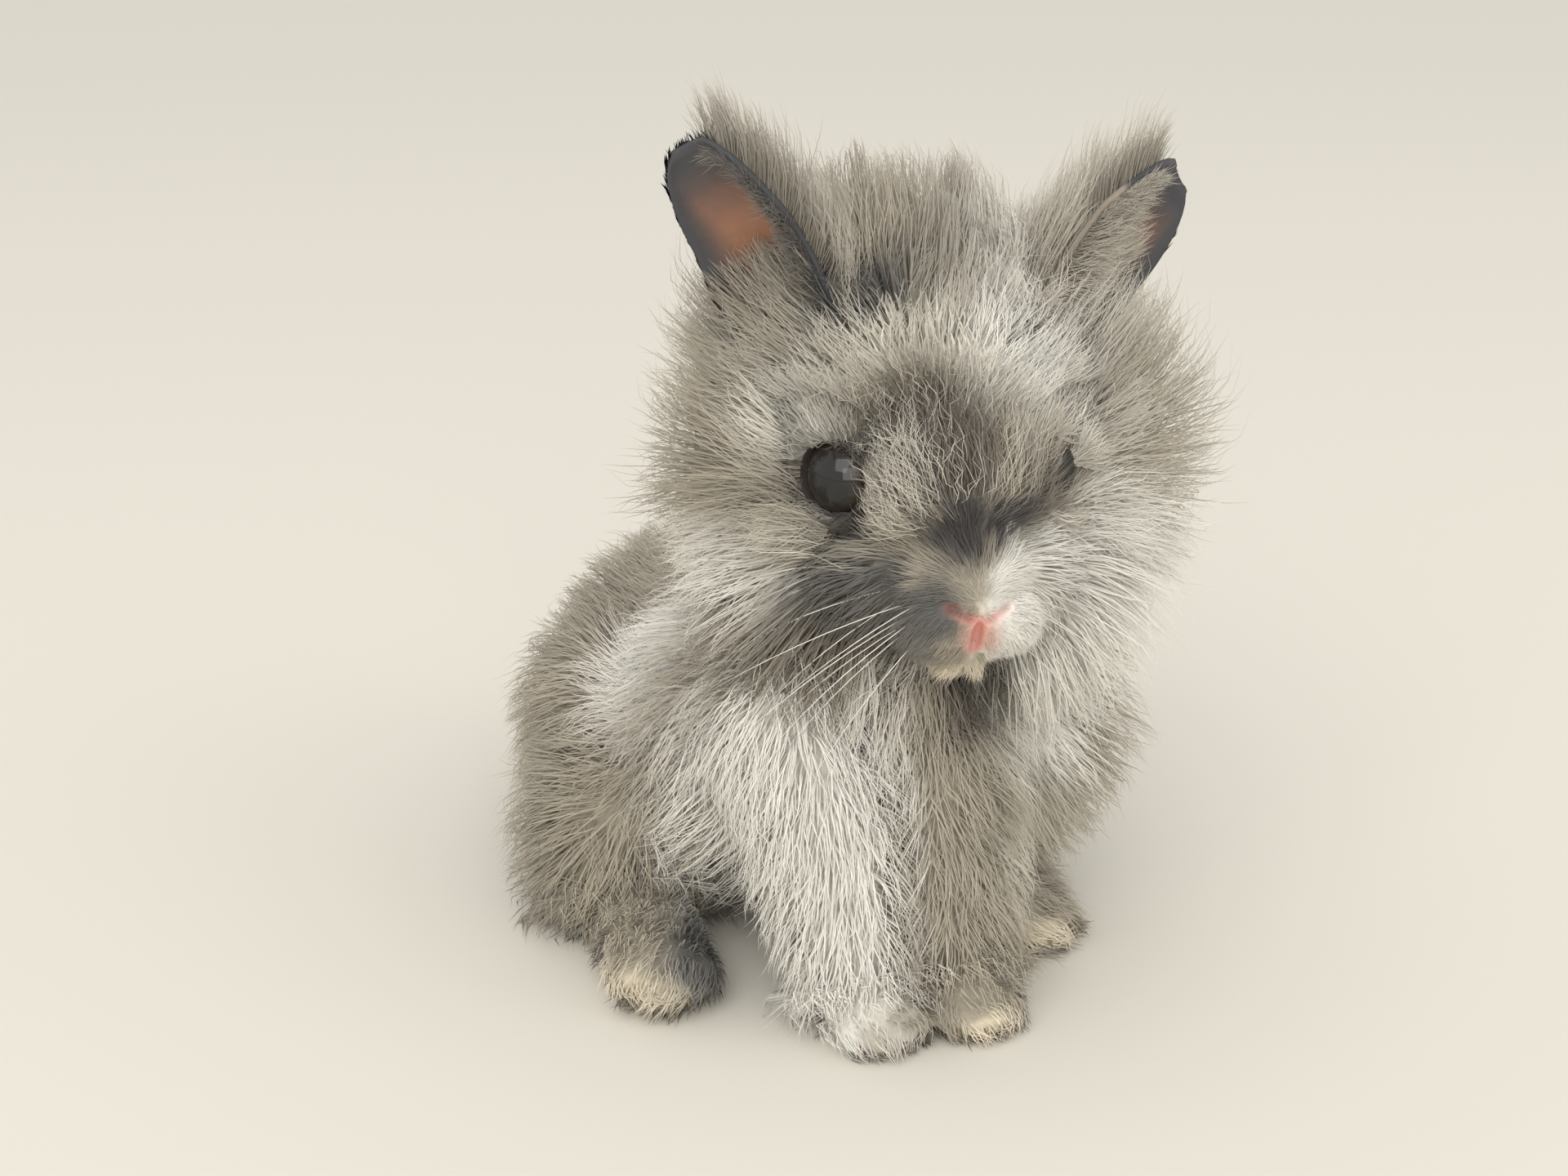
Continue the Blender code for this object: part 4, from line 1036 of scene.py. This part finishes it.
def curled(spine, ends, shares, curl, waves):
    """Let each tuft wave from side to side, more toward its tip."""
    swing = unit(np.cross(ends[:, 3] - ends[:, 0], draw.normal(size=(len(ends), 3))))
    phase = draw.uniform(0, 6.28, (len(ends), 1))
    share = np.asarray(shares)[None]
    wave = np.sin(share * 6.28 * waves + phase) * share ** 0.6 * curl
    return spine + swing[:, None] * wave[:, :, None]


def tuft_tones(low, high, depth, part, guide, paler):
    """The tones at root and tip, a little lighter or darker from clump to clump, with painted shade at deep
    roots.
    """
    tone = coat_colour(high * 0.7 + low * 0.3, share_of_head(part))
    tone = tone * (1 - paler) + PALE * paler
    light = draw.normal(1, 0.04, len(low))[guide] * draw.normal(1, 0.04, len(low))
    shade = np.clip(1 - 0.004 * depth / MM, 0.88, 1)[:, None]
    return tone * shade * light[:, None], tone * light[:, None] + 0.03


print("on the hind feet the fur runs", round(FOOT_REACH[HIND_FOOT] / MM, 1), "mm")

# %% [markdown]
# One function now grows the tufts of any region. A quarter of them are inner ones, which stand only two
# thirds as high and fill the coat from within, as the undercoat of a real rabbit does.

# %% Grow tufts over a region
INNER_SHARE, INNER_HEIGHT = 0.25, 0.65


def grow(mask, count, wool_gain, shares, width, stand=(0.75, 1.05), jitter=0.2, curl=0.0, length=1.0,
         waves=1.1, paler=0.0):
    """Tufts over one region: their spines, widths, side hints, tones and map places."""
    root, normal, uv, depth, part = scatter(mask, count, wool_gain)
    lie = around_eyes(root, coat_lie(root, normal, part), normal)
    sideways = np.cross(normal, lie)
    lie = unit(lie + sideways * draw.normal(0, jitter, (count, 1)))
    place = transformed(into_head, root)
    inner = draw.random(count) < INNER_SHARE
    height = depth * draw.uniform(*stand, count) * np.where(inner, INNER_HEIGHT, 1.0)
    reach = reach_along(root, place, depth, part) * draw.uniform(0.75, 1.2, count) * length
    rise, run = normal * height[:, None], lie * reach[:, None]
    spread = draw.normal(0, 0.09, (count, 3)) * (height + reach)[:, None]
    ends = np.stack([root, root + rise * 0.75 + run * 0.12, root + rise * 1.02 + run * 0.6,
                     root + rise * 0.98 + run + spread], axis=1)
    crown = (part == HEAD) * step_up(place[:, 2], 14 * MM, 24 * MM)
    gather(ends, 80, 0.2 + 0.25 * crown)
    guide = gather(ends, 14, 0.28 + 0.3 * crown)
    spine = bend(ends, shares)
    if curl:
        spine = curled(spine, ends, shares, curl, waves)
    keep = clear_of_eyes(spine)
    base, tip = tuft_tones(root + rise, ends[:, 3], depth, part, guide, paler)
    girth = draw.uniform(0.75, 1.25, count) * width
    nose_far = np.linalg.norm(place - np.array(NOSE), axis=1)
    finer = np.where(part == HEAD, 0.55 + 0.45 * step_up(nose_far, 5 * MM, 14 * MM), 1.0)
    outward = unit(normal + lie * 0.25 + np.array((0, 0, 0.25)))
    return [values[keep] for values in (spine, girth * finer, sideways, base, tip, uv, root, outward)]


print("a quarter of the tufts stand only", INNER_HEIGHT, "as high as the rest")

# %% [markdown]
# ## The coat, region by region
# Every region has its own number of tufts, thickness and number of bends. Long wool gets more bends than
# short fur, and the curled hairs between the eyes get the most. The mane and the coat are each cut into
# three pieces, so that no mesh grows too heavy.

# %% Grow the coat
pieces = []


def plant(name, grown, material, slot, pieces_wanted=1):
    """Turn grown tufts into pieces of the coat, cut by place."""
    spine, girth, side, base, tip, uv, root, outward = grown
    order = np.argsort(np.arctan2(root[:, 0] - HEAD_FRAME.translation.x, root[:, 1] - 10 * MM))
    for number, chosen in enumerate(np.array_split(order, pieces_wanted)):
        label = name + ("_%d" % (number + 1) if pieces_wanted > 1 else "")
        obj = strand_mesh(label, spine[chosen], girth[chosen], side[chosen],
                          (base[chosen], tip[chosen]), uv[chosen], outward[chosen])
        obj.data.materials.append(material)
        pieces.append((obj, slot))
        print(label, len(obj.data.polygons), "triangles")


head_part = corner_part == HEAD
feet_part = (corner_part == HIND_FOOT) | (corner_part == FOREPAW)
FACE_LIMIT = 4.5 * MM
face = head_part & (corner_depth < FACE_LIMIT)
mane = head_part & ~face
trunk = ~head_part & ~feet_part
MEDIUM, SHORT = (0, 0.4, 0.75, 1), (0, 0.5, 1)
UNDER = dict(stand=(0.4, 0.72), length=0.75)
CURLY = np.linspace(0, 1, 7)
plant("underwool_head", grow(mane, 11500, 0.4, SHORT, 0.5 * MM, **UNDER), wool, "grey_coat")
plant("underwool_body", grow(trunk, 13000, 0.3, SHORT, 0.5 * MM, **UNDER), wool, "grey_coat")
plant("mane", grow(mane, 26500, 0.4, MEDIUM, 0.21 * MM, curl=0.8 * MM), wool, "grey_coat", 3)
plant("coat", grow(trunk, 27300, 0.3, MEDIUM, 0.23 * MM, curl=0.6 * MM), wool, "grey_coat", 3)
plant("wisps", grow(mane | trunk, 1500, 0.8, MEDIUM, 0.13 * MM, (1.0, 1.25), 0.4, 0.9 * MM, 1.2),
      wool, "grey_coat")
corner_head = transformed(into_head, corner_points.mean(axis=1)) / MM


def head_zone(centre, radii):
    """The skin's triangles inside an ellipsoid that is placed in the head's axes, in millimetres."""
    return head_part & (np.linalg.norm((corner_head - centre) / radii, axis=1) < 1)


brow = head_zone((-4, -19, 6), (17, 13, 13))
bridge = head_zone((-8, -23, -1), (8, 7, 6))
plant("frizz", grow(brow, 640, 0, CURLY, 0.14 * MM, (0.95, 1.3), 0.8, 0.9 * MM, waves=2.2, paler=0.8),
      wool, "grey_coat")
plant("frizz_bridge", grow(bridge, 470, 0, CURLY, 0.15 * MM, (1.0, 1.5), 1.2, 0.8 * MM, waves=2.4,
                           paler=0.9), wool, "grey_coat")
plant("face", grow(face, 8500, 0.0, SHORT, 0.2 * MM, (0.9, 1.4), 0.18), short_fur, "grey_coat")
plant("feet", grow(feet_part, 7800, 0.0, SHORT, 0.3 * MM, (1.1, 2.0), 0.35), short_fur, "white_coat")

# %% [markdown]
# ## Fur of the ears
# The back of each ear is furred, shortest near the tip. The edge that faces the crown carries a long pale
# fringe, which stands up past the ear and makes a lionhead kit look so tousled. The inside stays bare but
# for a thin fringe along the rims.

# %% Grow the fur of the ears
def ear_fur(count, turn_range, share_range, length, stand, width, tones, back=True, shares=MEDIUM,
            sides=("left", "right"), lit_up=0.0, tousle=0.16, splay=0.5):
    """Tufts on the ears' backs or rims; turn_range is counted from the crown side, -1 to 1."""
    roots, ways, normals, hints, lengths = [], [], [], [], []
    for number in range(count):
        side = sides[number % len(sides)]
        turn = draw.uniform(*turn_range) * SIDES[side]
        share = draw.uniform(*share_range)
        place, to_tip, across_ear, inner = ear_sheet(side, turn, share)
        out = -inner if back else inner
        edge = across_ear * np.sign(turn) * step_up(abs(turn), 0.5, 1.0)
        roots.append(place + out * EAR_THICKNESS * 0.35)
        ways.append((to_tip + edge * splay).normalized())
        normals.append(out)
        hints.append(across_ear)
        lengths.append(length * (1.25 - 0.6 * share) * draw.uniform(0.65, 1.15))
    root, way, normal, hint = (np.array(values) for values in (roots, ways, normals, hints))
    length = np.array(lengths)[:, None]
    way = unit(way + draw.normal(0, tousle, way.shape))
    ends = np.stack([root, root + normal * length * stand * 0.6 + way * length * 0.3,
                     root + normal * length * stand + way * length * 0.65,
                     root + normal * length * stand * 1.1 + way * length
                     + draw.normal(0, 0.07, root.shape) * length], axis=1)
    gather(ends, 12, 0.4)
    uv = np.array([skin_uv[loop_of[skin_tree.find(place)[1]]] for place in root])
    light = draw.normal(1, 0.1, (count, 1))
    return [bend(ends, shares), draw.uniform(0.7, 1.2, count) * width, hint,
            np.tile(tones[0], (count, 1)) * light, np.tile(tones[1], (count, 1)) * light, uv, root,
            unit(normal * (1 - lit_up) + np.array((-0.1, -0.5, 0.8)) * lit_up)]


skin_tree = kdtree.KDTree(len(skin_points))
for number, place in enumerate(skin_points):
    skin_tree.insert(place, number)
skin_tree.balance()
loop_of = np.zeros(len(skin_points), int)
loop_of[corner.ravel()] = loop.ravel()

RIM_TONES = (EAR_RIM, linear(112, 108, 105))
FRINGE_TONES = (linear(140, 132, 120), linear(200, 193, 178))
WOOL_TONES = (linear(128, 120, 108), linear(168, 160, 145))
plant("ear_backs", ear_fur(3800, (-0.6, 1), (0.1, 0.98), 4.5 * MM, 0.22, 0.42 * MM,
                           (EAR_RIM, linear(128, 122, 114)), shares=SHORT, splay=0.1), short_fur, "ear")
plant("ear_fringe", ear_fur(2400, (-1, 0.1), (0.2, 0.92), 15 * MM, 0.5, 0.24 * MM, FRINGE_TONES,
                            lit_up=0.9), wool, "grey_coat")
plant("ear_rims", ear_fur(2400, (0.84, 1.0), (0.15, 0.99), 1.2 * MM, 0.1, 0.2 * MM, RIM_TONES,
                          shares=SHORT, lit_up=0.5, splay=0.2), short_fur, "ear")
plant("ear_inner_rims", ear_fur(1500, (-1.0, -0.5), (0.1, 0.98), 3.6 * MM, 0.2, 0.24 * MM, RIM_TONES,
                                back=False, shares=SHORT, sides=("right",), lit_up=0.4), short_fur, "ear")
plant("ear_edge_right", ear_fur(1300, (-1.02, -0.93), (0.08, 0.97), 5 * MM, 0.45, 0.24 * MM,
                                (linear(84, 83, 84), linear(138, 132, 122)), back=False, shares=SHORT,
                                sides=("right",), lit_up=0.5, tousle=0.5), short_fur, "ear")
plant("ear_front_right", ear_fur(1100, (-1.0, 0.95), (0.02, 0.45), 8 * MM, 0.3, 0.24 * MM, WOOL_TONES,
                                 back=False, sides=("right",), lit_up=0.7), wool, "grey_coat")
plant("ear_front_left", ear_fur(1700, (-1.0, 0.35), (0.05, 0.6), 11 * MM, 0.4, 0.24 * MM, FRINGE_TONES,
                                back=False, sides=("left",), lit_up=0.7), wool, "grey_coat")
plant("ear_edge_left", ear_fur(1500, (-1.02, -0.9), (0.1, 0.85), 7 * MM, 0.5, 0.24 * MM, FRINGE_TONES,
                               back=False, sides=("left",), lit_up=0.9, tousle=0.4, splay=1.6),
      wool, "grey_coat")

# %% [markdown]
# ## Eyes
# Each eye is a dark wet ball with a slightly raised front. Its tone runs in rings, from the wide pupil
# over a brown iris to the dark rim. It takes the place of the plain one of the solid model, at the same
# spot, so the lids still fit round it.

# %% Make the eyes
PUPIL = linear(28, 27, 27)
IRIS = linear(54, 47, 41)
EYE_RIM = linear(32, 27, 25)
for side in SIDES:
    bm = bmesh.new()
    bmesh.ops.create_uvsphere(bm, u_segments=64, v_segments=56, radius=EYE_RADIUS)
    tones = []
    for vert in bm.verts:
        height = vert.co.z / EYE_RADIUS
        vert.co *= 1 + 0.05 * float(step_up(height, 0.72, 0.98))
        angle = math.degrees(math.acos(max(-1, min(1, height))))
        ring = float(step_up(angle, 30, 40))
        rim = float(step_up(angle, 42, 54))
        tones.append(PUPIL * (1 - ring) + IRIS * ring * (1 - rim) + EYE_RIM * ring * rim)
    bm.transform(eye_frames[side])
    eye = object_from(bm, "eyeball_" + side)
    paint(eye.data, np.array(tones))
    eye.data.shade_smooth()
    eye.data.materials.append(wet_eye)
    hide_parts("eye_" + side)
    pieces.append((eye, "eye"))
    print(eye.name, len(eye.data.polygons), "faces")

# %% [markdown]
# ## Claws and whiskers
# Claws are small dark hooks that just clear the fur of the toes. Whiskers are the only stiff hairs: each
# is a long thin strand that leaves the muzzle sideways and droops a little at its end.

# %% Make the claws
CLAW_WIDTH = 1.5 * MM
CLAW_TONES = (linear(86, 72, 60), linear(150, 132, 110))
DOWN = Vector((0, 0, -1))


def even_tones(tones, count):
    """The same two tones, at root and tip, for every strand."""
    return [np.tile(tone, (count, 1)) for tone in tones]


claw_spines = []
for tip, forward in toe_tips:
    start = BODY_FRAME @ (tip * MM) - forward * 2.5 * MM
    claw_spines.append([start, start + forward * 1.6 * MM + DOWN * 0.1 * MM,
                        start + forward * 3.2 * MM + DOWN * 0.8 * MM,
                        start + forward * 4.2 * MM + DOWN * 2.0 * MM])
claw_spines = np.array(claw_spines)
claw_uv = np.random.default_rng(3).uniform(0.1, 0.9, (len(claw_spines), 2))
claw_side = np.array([forward.cross(Vector((0, 0, 1))) for _, forward in toe_tips])
claws = strand_mesh("claws", claw_spines, np.full(len(claw_spines), CLAW_WIDTH), claw_side,
                    even_tones(CLAW_TONES, len(claw_spines)), claw_uv, claw_side, flat=1.1, soft=0)
claws.data.materials.append(horn)
pieces.append((claws, "claw"))
print(len(claw_spines), "claws")

# %% [markdown]
# Whiskers grow in three rows of three on each side, from the pads beside the nose. Each starts on the
# skin point nearest to its place in the row, so that none hangs in the air.

# %% Make the whiskers
WHISKERS = 9
WHISKER_LENGTH = (26, 38)
WHISKER_WIDTH = 0.17 * MM
WHISKER_TONES = (linear(226, 220, 210), linear(244, 240, 232))
FAR_SIDE = {"left": 0.85, "right": 1}
spines, hints, whisker_uv = [], [], []
for side, sign in SIDES.items():
    for number in range(WHISKERS):
        row, place = divmod(number, 3)
        start = Vector((sign * (7 + place * 2.2), -31 + place * 2.6, -16 - row * 2.6)) * MM
        _, index, _ = skin_tree.find(HEAD_FRAME @ start)
        start = into_head @ Vector(skin_points[index])
        out = Vector((sign * 0.8, -0.12 + 0.25 * place, -0.3 - 0.25 * row))
        out += Vector(draw.normal(0, 0.08, 3))
        length = draw.uniform(*WHISKER_LENGTH) * FAR_SIDE[side] * MM
        out.normalize()
        drop = DOWN * length
        ends = [start, start + out * length * 0.35, start + out * length * 0.72 + drop * 0.06,
                start + out * length + drop * draw.uniform(0.14, 0.3)]
        spines.append([HEAD_FRAME @ end for end in ends])
        hints.append((0, 0.3, 1))
        whisker_uv.append(skin_uv[loop_of[index]])
ends = np.array([[tuple(point) for point in line] for line in spines])
hints = np.array(hints)
whiskers = strand_mesh("whiskers", bend(ends, np.linspace(0, 1, 9)), np.full(len(ends), WHISKER_WIDTH),
                       hints, even_tones(WHISKER_TONES, len(ends)), np.array(whisker_uv), hints,
                       flat=1.0, soft=0)
whiskers.data.materials.append(whisker_hair)
pieces.append((whiskers, "whisker"))
print(len(ends), "whiskers")

# %% [markdown]
# ## The model's pieces
# The rabbit is a still model, so every piece belongs to the one body. The skin stands for all the flesh
# of the solid model.

# %% Hide the solid flesh and hang every piece on the one body
PAIRED = ["ear", "foreleg", "forepaw", "hind_leg", "hind_foot"]
FLESH = ["head", "neck", "torso", "tail"] + [name + "_" + side for name in PAIRED for side in SIDES]
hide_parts(*FLESH)
for obj, slot in pieces + [(skin, "grey_coat")]:
    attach(obj, "root")
print("the skin stands for", len(FLESH), "solids")

# %% [markdown]
# ## Floor, light and camera
# The floor and the light are pale and even, so that the coat alone makes the picture. The camera looks
# from a little above the animal's right front, as the photographer did.

# %% Floor and light
FLOOR_RADIUS = 5.0
FLOOR_TONE = linear(218, 214, 204)
DAYLIGHT = (1.0, 0.985, 0.955)

bm = bmesh.new()
bmesh.ops.create_circle(bm, cap_ends=True, segments=64, radius=FLOOR_RADIUS)
floor = object_from(bm, "floor")
floor_paint = bpy.data.materials.new("Pale floor")
floor_paint.use_nodes = True
floor_shader = floor_paint.node_tree.nodes["Principled BSDF"]
floor_shader.inputs["Base Color"].default_value = (*FLOOR_TONE, 1)
floor_shader.inputs["Roughness"].default_value = 0.9
floor.data.materials.append(floor_paint)

world = bpy.data.worlds.new("Pale room")
world.use_nodes = True
sky = world.node_tree.nodes["Background"]
sky.inputs["Color"].default_value = (*DAYLIGHT, 1)
sky.inputs["Strength"].default_value = 0.95
bpy.context.scene.world = world


def soft_light(name, place, power, size, target=(0, -0.02, 0.06)):
    """A large square lamp aimed at the animal."""
    lamp = bpy.data.lights.new(name, "AREA")
    lamp.energy, lamp.size, lamp.color = power, size, DAYLIGHT
    obj = bpy.data.objects.new(name, lamp)
    obj.matrix_world = facing(Vector(place), Vector(place) - Vector(target))
    bpy.context.scene.collection.objects.link(obj)


soft_light("window", (-0.8, -0.8, 1.1), 6, 1.0)
soft_light("room", (1.0, -0.9, 0.8), 3, 1.0)
soft_light("front", (-0.45, -1.2, 0.55), 4, 0.8)
print(len(bpy.data.lights), "lamps and a bright room")

# %% [markdown]
# The camera is placed by the point it looks at, its compass angle, its height angle and its distance. Its
# lens follows from the width of the frame in pixels and the distance at which a pixel spans as much as it
# is wide, which is how a camera is described in measuring from pictures.

# %% Camera
SENSOR_WIDTH = 36
FOCAL_PIXELS, FRAME_PIXELS = 2750, 1920
TARGET = Vector((-7.5, -7.7, 60.0)) * MM
VIEW_AZIMUTH, VIEW_HEIGHT, VIEW_FAR = math.radians(-22), math.radians(20), 0.4
away = Vector((math.sin(VIEW_AZIMUTH) * math.cos(VIEW_HEIGHT),
               -math.cos(VIEW_AZIMUTH) * math.cos(VIEW_HEIGHT), math.sin(VIEW_HEIGHT)))
camera = bpy.data.objects.new("camera", bpy.data.cameras.new("camera"))
camera.data.lens = SENSOR_WIDTH * FOCAL_PIXELS / FRAME_PIXELS
camera.data.clip_start = 0.01
camera.matrix_world = facing(TARGET + away * VIEW_FAR, away)
bpy.context.scene.collection.objects.link(camera)
bpy.context.scene.camera = camera
bpy.context.scene.view_settings.view_transform = "Standard"
print("camera at", [round(value / MM) for value in camera.matrix_world.translation], "mm")

# %% [markdown]
# ## Measure
# The dressed model may stand a little past the solid one, by the finest hairs. The triangles of the whole
# model are counted and printed.

# %% Measure and finish
total = sum(len(obj.data.polygons) for obj, _ in pieces) + len(corner)
print(total, "triangles in the whole model")
